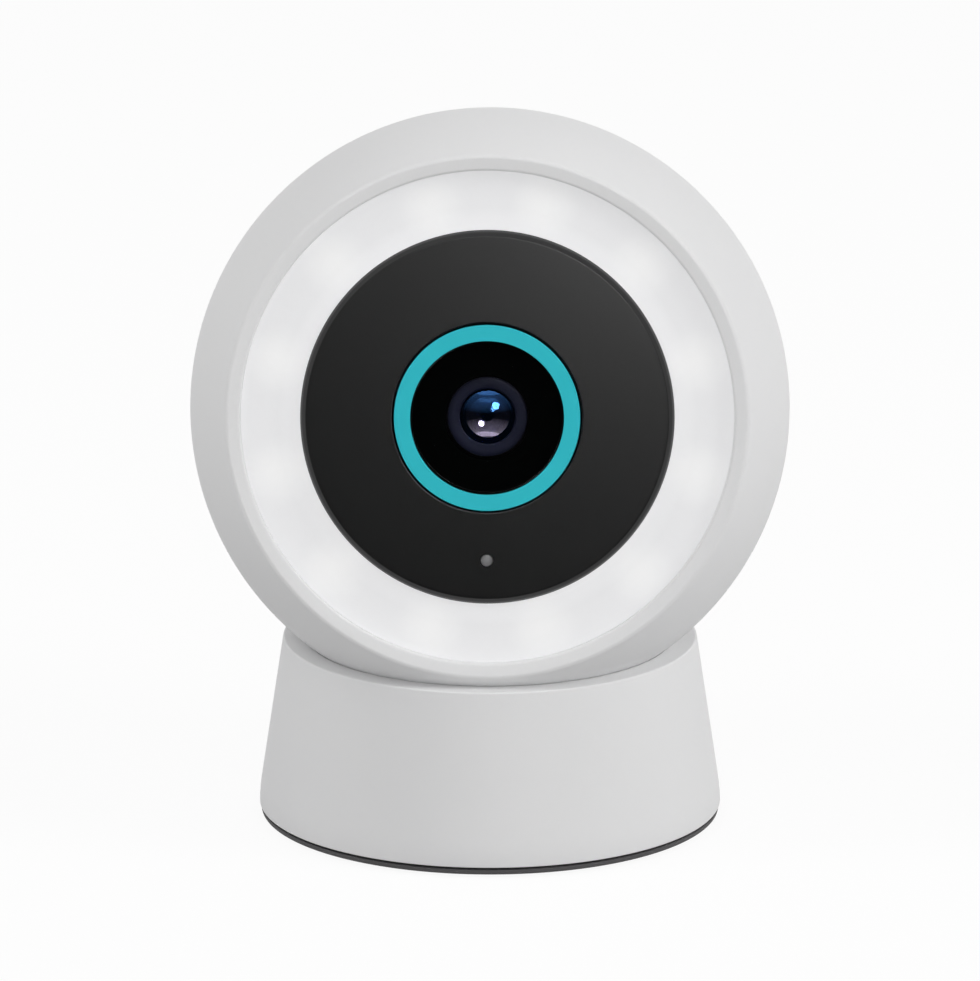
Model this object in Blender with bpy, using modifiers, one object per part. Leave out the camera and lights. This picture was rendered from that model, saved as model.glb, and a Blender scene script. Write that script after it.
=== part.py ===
"""A floodlight security camera: a ball head with a ring light, held by a magnet in a swivel cup on a base.

Metres, +Z up. The origin is the middle of the foot's underside, and the lens looks towards -Y.
"""

import math

import bmesh
import bpy
from mathutils import Matrix, Vector

MM = 0.001

# Clearances between pieces
GAP = 0.3 * MM  # between pieces that touch or are glued
RUNNING_GAP = 0.4 * MM  # between pieces that turn in each other
SEAT_GAP = 0.5 * MM  # between the ball and the cup
RECESS_CLEARANCE = 0.9 * MM  # round the pan screw's head
WELL_CLEARANCE = 0.45 * MM  # round the heads of the housing screws

# Ball head and base, overall
BALL_RADIUS = 49.0 * MM
BALL_WALL = 2.2 * MM
BALL_SINK = 10.4 * MM  # how far the ball sits below the lip
REST_TILT = 11.0  # degrees that the lens looks up at rest
BASE_RADIUS = 38.3 * MM
BASE_HEIGHT = 28.7 * MM
BASE_WALL = 2.4 * MM
BASE_ROUND = 1.8 * MM
LIP_RADIUS = 34.0 * MM
LIP_ROUND = 1.0 * MM
LIP_THICKNESS = 2.4 * MM
FOOT_INSET = 0.9 * MM  # from the base's widest line in to the foot's edge
FOOT_THICKNESS = 1.0 * MM
FOOT_CHAMFER = 0.3 * MM

# Base plate, its screws and its two keyholes for wall screws
PLATE_THICKNESS = 2.5 * MM
BOSS_WALL = 3.0 * MM
PLATE_SHOULDER = 1.5 * MM
SCREW_RECESS = 2.6 * MM  # pocket under the boss for the pan screw
POST_INSET = 9.8 * MM  # from the base's widest line in to the screw posts
POST_RADIUS = 3.0 * MM
POST_ANGLES = (90, 210, 330)
BASE_SCREW_SHANK = 1.2 * MM
BASE_SCREW_HEAD = 2.6 * MM
BASE_SCREW_HEAD_HEIGHT = 1.2 * MM
BASE_SCREW_LENGTH = 12.0 * MM
KEYHOLE_SPACING = 36.0 * MM
KEYHOLE_HEAD = 4.0 * MM  # radius that passes the screw head
KEYHOLE_NECK = 2.2 * MM  # radius that takes the screw shank
KEYHOLE_TRAVEL = 7.0 * MM
FOOT_WINDOW_MARGIN = 1.2 * MM

# Swivel cup
CRADLE_RADIUS = 22.0 * MM
CRADLE_FLOOR = 2.6 * MM
CRADLE_RIM = 2.4 * MM
SKIRT_WALL = 2.0 * MM
HUB_RADIUS = 7.8 * MM
SPINDLE_RADIUS = 4.0 * MM
MAGNET_RADIUS = 17.5 * MM
MAGNET_THICKNESS = 4.0 * MM
YOKE_THICKNESS = 1.0 * MM
SEAT_RING_RADIUS = 19.0 * MM
SEAT_RING_WIDTH = 2.0 * MM
SEAT_GROOVE_DEPTH = 1.2 * MM
BUSH_WALL = 1.3 * MM
BUSH_FLANGE_RADIUS = 7.2 * MM
BUSH_FLANGE_THICKNESS = 1.0 * MM
PAN_SCREW_HEAD = 6.3 * MM
PAN_SCREW_HEAD_HEIGHT = 0.9 * MM
PAN_SCREW_SHANK = 1.5 * MM
PAN_SCREW_LENGTH = 7.0 * MM
WASHER_THICKNESS = 0.3 * MM
WASHER_WAVE = 0.15 * MM
WASHER_WAVES = 3
WASHER_STEPS = 8  # corners on each wave
WASHER_RADIUS = 6.5 * MM

# Front of the head
RIM_INSET = 6.8 * MM  # from the ball's widest line in to the rim
RIM_ROUND = 0.8 * MM
BEZEL_WIDTH = 2.4 * MM
BEZEL_DEPTH = 2.2 * MM
BEZEL_LIP = 1.0 * MM
DIFFUSER_SETBACK = 0.2 * MM
DIFFUSER_THICKNESS = 2.8 * MM
DIFFUSER_FLANGE = 0.9 * MM  # how far the diffuser reaches under the bezel
FACE_RADIUS = 30.2 * MM
FACE_EDGE = 1.6 * MM
FACE_ROUND = 1.2 * MM
FACE_CROWN = 1.2 * MM
FACE_WALL = 1.8 * MM
FACE_OVERLAP = 1.4 * MM  # how far the face covers the diffuser
SKIRT_THICKNESS = 1.6 * MM
STATUS_RADIUS = 15.0 * MM
STATUS_WIDTH = 2.6 * MM
STATUS_DEPTH = 5.4 * MM
STATUS_LEDGE = 1.2 * MM
STATUS_BOARD_WIDTH = 5.6 * MM
WINDOW_THICKNESS = 1.8 * MM
WINDOW_SETBACK = 0.3 * MM
SENSOR_DOT_DROP = 23.1 * MM
SENSOR_DOT_RADIUS = 1.0 * MM
SENSOR_DOT_LENGTH = 6.0 * MM

# Lens and image sensor
LENS_AIR = 0.9 * MM  # from the window to the front element
LENS_CROWN = 1.6 * MM
LENS_GLASS_RADIUS = 4.6 * MM
LENS_GLASS_THICKNESS = 2.6 * MM
LENS_FLANGE_RADIUS = 6.9 * MM
LENS_FLANGE_LENGTH = 4.8 * MM
LENS_LENGTH = 14.0 * MM
LENS_THREAD_RADIUS = 6.0 * MM
LENS_BORE = 3.6 * MM
REAR_GLASS_THICKNESS = 2.0 * MM
RETAINER_RADIUS = 6.4 * MM
RETAINER_THICKNESS = 0.5 * MM
HOLDER_WALL = 1.9 * MM
HOLDER_SIDE = 17.0 * MM
HOLDER_BASE = 2.2 * MM
IMAGE_SENSOR_SIDE = 7.0 * MM
IMAGE_SENSOR_HEIGHT = 0.9 * MM
SENSOR_BACK_FOCUS = 1.5 * MM
SENSOR_BOARD_SIDE = 26.0 * MM
SENSOR_POST_RADIUS = 2.0 * MM
SENSOR_POST_INSET = 2.5 * MM

# Ring light and chassis
LED_COUNT = 12
LED_SIDE = 3.5 * MM
LED_HEIGHT = 0.8 * MM
LED_DISTANCE = 4.0 * MM  # from the LEDs to the diffuser
LED_BOARD_MARGIN = 1.0 * MM
BOARD_THICKNESS = 1.4 * MM
HEAT_SINK_THICKNESS = 2.0 * MM
HEAT_SINK_MARGIN = 0.6 * MM
FIN_THICKNESS = 1.2 * MM
FIN_DEPTH = 4.0 * MM
FIN_INNER = 18.5 * MM
FIN_EDGE = 5.3 * MM  # from the fins' ends out to the heat sink's edge
CHASSIS_EDGE = 1.6 * MM  # from the screws out to the heat sink's edge
CHASSIS_BOSS = 1.7 * MM
CHASSIS_ANGLES = (30, 150, 270)
CHASSIS_SCREW_SHANK = 0.7 * MM
CHASSIS_SCREW_HEAD = 1.4 * MM
CHASSIS_SCREW_HEAD_HEIGHT = 0.8 * MM
CHASSIS_SCREW_LENGTH = 6.0 * MM
WIRE_HOLE = 2.0 * MM

# Seam, rear shell and main board
SEAM_SETBACK = 5.0 * MM  # seam plane behind the ball's centre
FLANGE_WIDTH = 3.7 * MM
FLANGE_DEPTH = 3.0 * MM
SEAL_WIDTH = 1.0 * MM
SEAL_DEPTH = 1.1 * MM
SEAL_INSET = 1.6 * MM
MAIN_BOARD_MARGIN = 3.5 * MM  # of board outside its screws
MAIN_BOARD_SPACING = 9.1 * MM
TOWER_CIRCLE = 32.5 * MM
TOWER_RADIUS = 3.8 * MM
TOWER_ANGLES = (90, 210, 330)
TOWER_SHOULDER = 4.0 * MM
CHASSIS_POST_RADIUS = 3.0 * MM
HOUSING_SCREW_SHANK = 1.1 * MM
HOUSING_SCREW_HEAD = 2.2 * MM
HOUSING_SCREW_HEAD_HEIGHT = 1.6 * MM
HOUSING_SCREW_LENGTH = 14.0 * MM
CHIPS = (  # name, length and width, height, and place on the main board
    ("processor", (12.0 * MM, 12.0 * MM), 1.4 * MM, (-12.0 * MM, 6.0 * MM)),
    ("memory", (9.0 * MM, 11.0 * MM), 1.2 * MM, (-12.0 * MM, -10.0 * MM)),
    ("radio_can", (13.0 * MM, 15.0 * MM), 2.2 * MM, (14.0 * MM, 4.0 * MM)),
    ("power_coil", (7.0 * MM, 7.0 * MM), 3.0 * MM, (14.0 * MM, -12.0 * MM)),
)
KEEPER_HALF_WIDTH = 12.0 * MM
KEEPER_THICKNESS = 1.5 * MM
KEEPER_GLUE = 0.7 * MM  # glue between the keeper plates and the wall
KEEPER_FRONT_ANGLES = (-10.0, 0.5)
KEEPER_REAR_ANGLES = (12.0, 60.0)

# Port bay at the rear, seen along its own axis
PORT_RISE = 28.0
BAY_LENGTH = 33.0 * MM
BAY_WIDTH = 11.0 * MM
BAY_DEPTH = 4.7 * MM
BAY_WALL = 1.8 * MM
BAY_FLOOR = 1.6 * MM
SOCKET_WIDTH = 9.0 * MM
SOCKET_HEIGHT = 3.3 * MM
SOCKET_LENGTH = 8.0 * MM
SOCKET_WALL = 0.35 * MM
SOCKET_CAVITY = 6.2 * MM
TONGUE_WIDTH = 6.7 * MM
TONGUE_HEIGHT = 0.7 * MM
TONGUE_LENGTH = 4.6 * MM
SOCKET_OFFSET = -4.2 * MM
CARD_WIDTH = 11.6 * MM
CARD_HEIGHT = 1.8 * MM
CARD_LENGTH = 14.0 * MM
CARD_WALL = 0.3 * MM
CARD_CAVITY = 12.0 * MM
CARD_OFFSET = 8.3 * MM
BUTTON_OFFSET = -12.2 * MM
BUTTON_RADIUS = 2.0 * MM
BUTTON_PROUD = 0.8 * MM
BUTTON_FLANGE_RADIUS = 2.8 * MM
BUTTON_FLANGE_THICKNESS = 0.8 * MM
BUTTON_STEM_RADIUS = 1.0 * MM
BUTTON_STEM = 1.0 * MM
BUTTON_TRAVEL = 0.6 * MM
SWITCH_SIDE = 3.2 * MM
SWITCH_DEPTH = 4.0 * MM
PORT_BOARD_LENGTH = 31.0 * MM
PORT_BOARD_DEPTH = 13.0 * MM
PORT_BOARD_THICKNESS = 1.2 * MM

# Speaker behind its grille
SPEAKER_DROP = 4.0
SPEAKER_RADIUS = 14.0 * MM
SPEAKER_DEPTH = 6.0 * MM
SPEAKER_MAGNET_RADIUS = 9.0 * MM
SPEAKER_RIM = 1.5 * MM
SPEAKER_DISH = 2.0 * MM
SPEAKER_CAP_RADIUS = 4.0 * MM
SPEAKER_CAP_RISE = 1.0 * MM
SPEAKER_COLLAR_WALL = 1.5 * MM
SPEAKER_COLLAR_GRIP = 3.0 * MM
GRILLE_HOLE = 0.9 * MM
GRILLE_PITCH = 3.6 * MM
GRILLE_RINGS = 2

# Leads and antenna
LEAD_RADIUS = 0.9 * MM
LEAD_SAMPLES = 5  # points on the curve between two of a lead's own points
LEAD_ROUNDNESS = 1
LED_LEAD_DROP = 24.0 * MM  # how far below the lens axis it leaves the main board
LED_LEAD_BOW = 2.0 * MM
LED_LEAD_RISE = 5.0 * MM
LED_LEAD_APPROACH = 4.0 * MM
SPEAKER_LEAD_DROP = 20.0 * MM
SPEAKER_LEAD_RUN = 6.0 * MM
SPEAKER_LEAD_SIDE = 4.0 * MM
SPEAKER_LEAD_APPROACH = 8.0 * MM
PORT_LEAD_BOW = 2.0 * MM
PORT_LEAD_RUN = 4.0 * MM
PORT_LEAD_SAG = 1.0 * MM
PORT_LEAD_APPROACH = 5.0 * MM
ANTENNA_LENGTH = 22.0 * MM
ANTENNA_HEIGHT = 8.0 * MM
ANTENNA_THICKNESS = 0.8 * MM
ANTENNA_RISE = 26.0 * MM

# The socket in a screw's head, as shares of its shank and of its head's height
SCREW_SOCKET_SHARE = 0.8
SCREW_SOCKET_DEPTH_SHARE = 0.6

# Fineness of round pieces
SHELL_STEPS = 32
INNER_STEPS = 20
SMALL_STEPS = 8
ROD_SIDES = 12
CORNER_STEPS = 3
LIP_STEPS = 3
DISH_STEPS = 4
FRONT_STEPS = 7
FRONT_INNER_STEPS = 5
REAR_STEPS = 10
REAR_INNER_STEPS = 7
FACE_STEPS = 4
LENS_STEPS = 3
KEEPER_STEPS = 4
KEEPER_STEP_ANGLE = 8.0
ROUND_SHARE = 0.98  # of half a width, for the corners of a slot
MERGE = 0.01 * MM
SHARP_ANGLE = 35.0
OVERRUN = 4.0 * MM  # how far a cutter runs past what it cuts

# Heights in the base, from the foot up
BASE_BOTTOM = FOOT_THICKNESS + GAP
PLATE_TOP = BASE_BOTTOM + PLATE_THICKNESS
FOOT_RADIUS = BASE_RADIUS - FOOT_INSET
POST_CIRCLE = BASE_RADIUS - POST_INSET
LIP_TOP = BASE_BOTTOM + BASE_HEIGHT
BALL_CENTRE = LIP_TOP - BALL_SINK + BALL_RADIUS
CUP_RADIUS = BALL_RADIUS + SEAT_GAP
BALL_INNER = BALL_RADIUS - BALL_WALL
TRIM_RADIUS = BALL_RADIUS - BALL_WALL / 2


def cup_height(radius):
    """Height of the cup's surface at this distance from the pan axis."""
    return BALL_CENTRE - math.sqrt(CUP_RADIUS**2 - radius**2)


DISH_BOTTOM = cup_height(0) - CRADLE_FLOOR
MAGNET_TOP = DISH_BOTTOM - GAP
YOKE_TOP = MAGNET_TOP - MAGNET_THICKNESS - GAP
HUB_BOTTOM = YOKE_TOP - YOKE_THICKNESS
BUSH_TOP = HUB_BOTTOM - GAP
BOSS_TOP = BUSH_TOP - BUSH_FLANGE_THICKNESS - GAP
RECESS_TOP = BASE_BOTTOM + SCREW_RECESS
SHOULDER_TOP = RECESS_TOP + PLATE_SHOULDER
PAN_SCREW_TOP = BASE_BOTTOM + PAN_SCREW_HEAD_HEIGHT + GAP
SPINDLE_END = PAN_SCREW_TOP + GAP
LIP_INNER = CRADLE_RADIUS + RUNNING_GAP
WEB_BOTTOM = cup_height(LIP_INNER) - LIP_THICKNESS
BUSH_BORE = SPINDLE_RADIUS + RUNNING_GAP
BUSH_RADIUS = BUSH_BORE + BUSH_WALL
BOSS_BORE = BUSH_RADIUS + GAP

# Depths in the head, measured forward from the ball's centre
RIM_RADIUS = BALL_RADIUS - RIM_INSET
RIM_FRONT = math.sqrt(BALL_RADIUS**2 - RIM_RADIUS**2)
OPENING_RADIUS = RIM_RADIUS - BEZEL_WIDTH
OPENING_FRONT = RIM_FRONT - BEZEL_DEPTH
OPENING_BACK = OPENING_FRONT - BEZEL_LIP
DIFFUSER_FRONT = OPENING_FRONT - DIFFUSER_SETBACK
DIFFUSER_BACK = DIFFUSER_FRONT - DIFFUSER_THICKNESS
FACE_BACK = DIFFUSER_FRONT + GAP
LED_FRONT = DIFFUSER_BACK - LED_DISTANCE
LED_BOARD_FRONT = LED_FRONT - LED_HEIGHT
HEAT_SINK_FRONT = LED_BOARD_FRONT - BOARD_THICKNESS - GAP
HEAT_SINK_BACK = HEAT_SINK_FRONT - HEAT_SINK_THICKNESS
HEAT_SINK_RADIUS = math.sqrt(BALL_INNER**2 - HEAT_SINK_FRONT**2) - HEAT_SINK_MARGIN
CHASSIS_CIRCLE = HEAT_SINK_RADIUS - CHASSIS_EDGE
FIN_OUTER = HEAT_SINK_RADIUS - FIN_EDGE
LED_CIRCLE = (FACE_RADIUS + OPENING_RADIUS) / 2
WIRE_HOLE_DROP = LED_CIRCLE
SKIRT_RADIUS = FACE_RADIUS - FACE_OVERLAP - GAP


def face_height(radius):
    """Depth of the domed face at this distance from the lens axis."""
    return FACE_BACK + FACE_EDGE + FACE_CROWN * (1 - (radius / FACE_RADIUS) ** 2)


STATUS_FRONT = face_height(STATUS_RADIUS)
STATUS_BACK = STATUS_FRONT - STATUS_DEPTH
STATUS_BORE = STATUS_RADIUS - STATUS_WIDTH
STATUS_BOARD_BACK = STATUS_BACK - GAP - BOARD_THICKNESS
WINDOW_FRONT = STATUS_FRONT - WINDOW_SETBACK
WINDOW_BACK = WINDOW_FRONT - WINDOW_THICKNESS
LENS_TIP = WINDOW_BACK - LENS_AIR
GLASS_EDGE = LENS_TIP - LENS_CROWN
BARREL_FRONT = GLASS_EDGE + GAP
BARREL_STEP = BARREL_FRONT - LENS_FLANGE_LENGTH
BARREL_BACK = BARREL_FRONT - LENS_LENGTH
GLASS_BACK = GLASS_EDGE - LENS_GLASS_THICKNESS
SENSOR_FRONT = BARREL_BACK - SENSOR_BACK_FOCUS
SENSOR_BOARD_FRONT = SENSOR_FRONT - IMAGE_SENSOR_HEIGHT - GAP
SENSOR_BOARD_BACK = SENSOR_BOARD_FRONT - BOARD_THICKNESS
HOLDER_BORE = LENS_THREAD_RADIUS + GAP
HOLDER_RADIUS = HOLDER_BORE + HOLDER_WALL
MAIN_BOARD_RADIUS = TOWER_CIRCLE + MAIN_BOARD_MARGIN
MAIN_BOARD_FRONT = SENSOR_BOARD_BACK - MAIN_BOARD_SPACING
MAIN_BOARD_BACK = MAIN_BOARD_FRONT - BOARD_THICKNESS
SEAM = -SEAM_SETBACK
REAR_SEAM = SEAM - GAP
TOWER_FRONT = MAIN_BOARD_BACK - GAP
SCREW_SEAT = TOWER_FRONT - TOWER_SHOULDER
FLANGE_INNER = math.sqrt(BALL_RADIUS**2 - SEAM**2) - FLANGE_WIDTH

# Distances along the port's own axis, outwards from the ball's centre
BAY_BOTTOM = BALL_RADIUS - BAY_DEPTH
BAY_INSIDE = BAY_BOTTOM - BAY_FLOOR
BUTTON_FLANGE_TOP = BAY_INSIDE - GAP
BUTTON_FLANGE_BOTTOM = BUTTON_FLANGE_TOP - BUTTON_FLANGE_THICKNESS
BUTTON_END = BUTTON_FLANGE_BOTTOM - BUTTON_STEM
SWITCH_TOP = BUTTON_END - BUTTON_TRAVEL - GAP
PORT_BOARD_TOP = SWITCH_TOP + GAP
PORT_BOARD_SIDE = SOCKET_HEIGHT / 2 + GAP  # the board's face that carries the sockets
SPEAKER_FRONT = math.sqrt(BALL_INNER**2 - SPEAKER_RADIUS**2) - GAP

# Colour, roughness and metallic value of each finish
WHITE_PLASTIC = ((0.78, 0.78, 0.79), 0.42, 0.0)
BLACK_PLASTIC = ((0.02, 0.02, 0.022), 0.38, 0.0)
DARK_RUBBER = ((0.05, 0.05, 0.052), 0.8, 0.0)
FROSTED_PLASTIC = ((0.86, 0.86, 0.87), 0.55, 0.0)
TEAL_PLASTIC = ((0.02, 0.42, 0.5), 0.35, 0.0)
BLACK_GLASS = ((0.004, 0.004, 0.005), 0.05, 0.0)
COATED_GLASS = ((0.03, 0.06, 0.25), 0.03, 0.0)
GREY_PLASTIC = ((0.3, 0.3, 0.31), 0.4, 0.0)
GREEN_BOARD = ((0.02, 0.12, 0.05), 0.5, 0.0)
WHITE_BOARD = ((0.7, 0.7, 0.68), 0.5, 0.0)
ALUMINIUM = ((0.75, 0.76, 0.78), 0.35, 1.0)
STEEL = ((0.56, 0.57, 0.58), 0.3, 1.0)
BRONZE = ((0.55, 0.36, 0.16), 0.4, 1.0)


def collection(name):
    made = bpy.data.collections.new(name)
    bpy.context.scene.collection.children.link(made)
    return made


for old in list(bpy.data.objects):
    bpy.data.objects.remove(old)
PARTS = collection("floodlight_security_camera")
HELPERS = collection("cutters")


def axis_empty(name, parent, location, turn):
    """An empty on a moving axis. turn is its angle about X, in degrees."""
    empty = bpy.data.objects.new(name, None)
    PARTS.objects.link(empty)
    empty.parent = parent
    empty.location = location
    empty.rotation_euler.x = math.radians(turn)
    return empty


# The head's own frame has +Z forwards along the lens axis and +Y up.
# The port's and the speaker's frames have +Z outwards.
BASE_AXIS = axis_empty("base_axis", None, (0, 0, 0), 0)
PAN_AXIS = axis_empty("pan_axis", BASE_AXIS, (0, 0, 0), 0)
HEAD_AXIS = axis_empty("head_axis", PAN_AXIS, (0, 0, BALL_CENTRE), 90 - REST_TILT)
PORT_AXIS = axis_empty("port_axis", HEAD_AXIS, (0, 0, 0), 180 + PORT_RISE)
SPEAKER_AXIS = axis_empty("speaker_axis", HEAD_AXIS, (0, 0, 0), 180 - SPEAKER_DROP)


def placed(name, mesh, parent, location=(0, 0, 0)):
    made = bpy.data.objects.new(name, mesh)
    PARTS.objects.link(made)
    made.parent = parent
    made.location = location
    return made


def finished(part, finish):
    """The part's own material."""
    colour, roughness, metallic = finish
    material = bpy.data.materials.new(part.name)
    material.use_nodes = True
    shader = material.node_tree.nodes["Principled BSDF"]
    shader.inputs["Base Color"].default_value = (*colour, 1)
    shader.inputs["Roughness"].default_value = roughness
    shader.inputs["Metallic"].default_value = metallic
    material.diffuse_color = (*colour, 1)
    part.data.materials.append(material)
    return part


def arc(radius, start, end, count, height=0.0):
    """Points on a circle about the axis, from one angle to another, in degrees from the top."""
    angles = [math.radians(start + (end - start) * i / count) for i in range(count + 1)]
    return [(radius * math.sin(a), height + radius * math.cos(a)) for a in angles]


def rounded(before, corner, after, radius, count=2):
    """The arc that rounds a corner of an outline."""
    before, corner, after = Vector(before), Vector(corner), Vector(after)
    back = (before - corner).normalized()
    on = (after - corner).normalized()
    half = back.angle(on) / 2
    centre = corner + (back + on).normalized() * radius / math.sin(half)
    start = (corner + back * radius / math.tan(half) - centre).normalized()
    end = (corner + on * radius / math.tan(half) - centre).normalized()
    return [tuple(centre + start.slerp(end, i / count) * radius) for i in range(count + 1)]


def turned(name, outline, parent, steps=INNER_STEPS, location=(0, 0, 0)):
    """A turned piece. Its outline of (radius, height) runs clockwise, from axis to axis or closed."""
    count = len(outline)
    edges = [(i, i + 1) for i in range(count - 1)]
    if outline[0][0] > 0:
        edges.append((count - 1, 0))
    mesh = bpy.data.meshes.new(name)
    mesh.from_pydata([(radius, 0, height) for radius, height in outline], edges, [])
    part = placed(name, mesh, parent, location)
    turn = part.modifiers.new("turn", "SCREW")
    turn.steps = turn.render_steps = steps
    turn.use_merge_vertices = True
    turn.merge_threshold = MERGE
    return part


def ring(name, inner, outer, bottom, top, parent, steps=INNER_STEPS):
    return turned(name, [(inner, top), (outer, top), (outer, bottom), (inner, bottom)], parent, steps)


def rod(name, radius, bottom, top, parent, place=(0, 0), sides=ROD_SIDES):
    """A round bar along the parent's Z, at this place across it, with no corner on the parent's axes."""
    shape = bmesh.new()
    half_side = Matrix.Rotation(math.pi / sides, 4, "Z")
    bmesh.ops.create_cone(
        shape,
        cap_ends=True,
        segments=sides,
        radius1=radius,
        radius2=radius,
        depth=top - bottom,
        matrix=half_side,
    )
    mesh = bpy.data.meshes.new(name)
    shape.to_mesh(mesh)
    shape.free()
    return placed(name, mesh, parent, (*place, (bottom + top) / 2))


def box(name, size, centre, parent, corner=0.0):
    """A block, with its edges along Z rounded where a corner radius is given."""
    shape = bmesh.new()
    bmesh.ops.create_cube(shape, size=1, matrix=Matrix.Diagonal((*size, 1)))
    if corner:
        upright = [edge for edge in shape.edges if edge.verts[0].co.xy == edge.verts[1].co.xy]
        bmesh.ops.bevel(
            shape,
            geom=upright,
            offset=corner,
            segments=CORNER_STEPS,
            profile=0.5,
            affect="EDGES",
        )
    mesh = bpy.data.meshes.new(name)
    shape.to_mesh(mesh)
    shape.free()
    return placed(name, mesh, parent, centre)


def slot(name, length, width, bottom, top, parent, place=(0, 0)):
    """A block with round ends, as long as given over all, along the parent's X."""
    round_end = ROUND_SHARE * min(width, length) / 2
    size = (length, width, top - bottom)
    return box(name, size, (*place, (bottom + top) / 2), parent, round_end)


def combine(part, other, operation):
    """A Boolean with a helper, which then no longer counts as a part."""
    PARTS.objects.unlink(other)
    HELPERS.objects.link(other)
    other.hide_render = True
    other.display_type = "WIRE"
    step = part.modifiers.new(other.name, "BOOLEAN")
    step.operation = operation
    step.object = other
    return part


def cut(part, *cutters):
    for cutter in cutters:
        combine(part, cutter, "DIFFERENCE")


def add(part, *pieces):
    for piece in pieces:
        combine(part, piece, "UNION")


def inside_wall(piece):
    """The piece cut off in the middle of the ball's wall, so that it shows only inside."""
    shape = bmesh.new()
    bmesh.ops.create_uvsphere(
        shape,
        u_segments=SHELL_STEPS,
        v_segments=SHELL_STEPS // 2,
        radius=TRIM_RADIUS,
    )
    mesh = bpy.data.meshes.new(piece.name)
    shape.to_mesh(mesh)
    shape.free()
    ball = placed(piece.name + "_limit", mesh, HEAD_AXIS)
    return combine(piece, ball, "INTERSECT")


def around(radius, angle):
    """A place at this distance from the axis, at an angle in degrees from +X."""
    return radius * math.cos(math.radians(angle)), radius * math.sin(math.radians(angle))


def screw(name, shank, head, head_height, length, seat, parent, place, steps=SMALL_STEPS):
    """A screw whose head bears on the seat height, with its shank along +Z from there."""
    socket = shank * SCREW_SOCKET_SHARE
    depth = head_height * SCREW_SOCKET_DEPTH_SHARE
    outline = [
        (0, length),
        (shank, length),
        (shank, 0),
        (head, 0),
        (head, -head_height),
        (socket, -head_height),
        (socket, depth - head_height),
        (0, depth - head_height),
    ]
    return turned(name, outline, parent, steps, (*place, seat))


# The white conical shell of the base: flank, lip and the fixed part of the cup
def flank_radius(height):
    share = (height - BASE_BOTTOM) / BASE_HEIGHT
    return BASE_RADIUS + (LIP_RADIUS - BASE_RADIUS) * share


def base_shell():
    lip_edge = math.sqrt(CUP_RADIUS**2 - (BALL_CENTRE - LIP_TOP) ** 2)
    lip_corner = (LIP_RADIUS, LIP_TOP)
    base_corner = (BASE_RADIUS, BASE_BOTTOM)
    inner_bottom = (BASE_RADIUS - BASE_WALL, BASE_BOTTOM)
    start = 180 - math.degrees(math.asin(LIP_INNER / CUP_RADIUS))
    end = 180 - math.degrees(math.asin(lip_edge / CUP_RADIUS))
    outline = [
        *rounded((lip_edge, LIP_TOP), lip_corner, base_corner, LIP_ROUND),
        *rounded(lip_corner, base_corner, inner_bottom, BASE_ROUND, 3),
        inner_bottom,
        (flank_radius(WEB_BOTTOM) - BASE_WALL, WEB_BOTTOM),
        (LIP_INNER, WEB_BOTTOM),
        *arc(CUP_RADIUS, start, end, LIP_STEPS, BALL_CENTRE),
    ]
    shell = turned("base_shell", outline, BASE_AXIS, SHELL_STEPS)
    post_end = PLATE_TOP + GAP
    into_web = WEB_BOTTOM + LIP_THICKNESS / 2
    pilot = BASE_SCREW_SHANK + GAP
    pilot_bottom = post_end - OVERRUN
    pilot_top = BASE_BOTTOM + BASE_SCREW_LENGTH + OVERRUN
    for number, angle in enumerate(POST_ANGLES, 1):
        place = around(POST_CIRCLE, angle)
        add(shell, rod(f"post_{number}", POST_RADIUS, post_end, into_web, BASE_AXIS, place))
        name = f"pilot_{number}"
        cut(shell, rod(name, pilot, pilot_bottom, pilot_top, BASE_AXIS, place, SMALL_STEPS))
    return finished(shell, WHITE_PLASTIC)


def base_plate():
    plate_radius = flank_radius(PLATE_TOP) - BASE_WALL - GAP
    boss = BOSS_BORE + BOSS_WALL
    recess = PAN_SCREW_HEAD + RECESS_CLEARANCE
    outline = [
        (BOSS_BORE, BOSS_TOP),
        (boss, BOSS_TOP),
        (boss, PLATE_TOP),
        (plate_radius, PLATE_TOP),
        (plate_radius, BASE_BOTTOM),
        (recess, BASE_BOTTOM),
        (recess, RECESS_TOP),
        (BUSH_BORE, RECESS_TOP),
        (BUSH_BORE, SHOULDER_TOP),
        (BOSS_BORE, SHOULDER_TOP),
    ]
    plate = turned("base_plate", outline, BASE_AXIS, SHELL_STEPS)
    below, above = BASE_BOTTOM - OVERRUN, PLATE_TOP + OVERRUN
    seat = BASE_BOTTOM + BASE_SCREW_HEAD_HEIGHT + 2 * GAP
    for number, angle in enumerate(POST_ANGLES, 1):
        place = around(POST_CIRCLE, angle)
        cut(
            plate,
            rod(f"screw_hole_{number}", BASE_SCREW_SHANK + GAP, below, above, BASE_AXIS, place),
            rod(f"screw_seat_{number}", BASE_SCREW_HEAD + GAP, below, seat, BASE_AXIS, place),
        )
    for side in (-1, 1):
        across = side * KEYHOLE_SPACING / 2
        head_place = (across, -KEYHOLE_TRAVEL / 2)
        neck_size = (2 * KEYHOLE_NECK, KEYHOLE_TRAVEL + KEYHOLE_NECK, above - below)
        neck_centre = (across, KEYHOLE_NECK / 2, (above + below) / 2)
        cut(
            plate,
            rod(f"keyhole_head_{side}", KEYHOLE_HEAD, below, above, BASE_AXIS, head_place),
            box(f"keyhole_neck_{side}", neck_size, neck_centre, BASE_AXIS, ROUND_SHARE * KEYHOLE_NECK),
        )
    return finished(plate, BLACK_PLASTIC)


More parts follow.
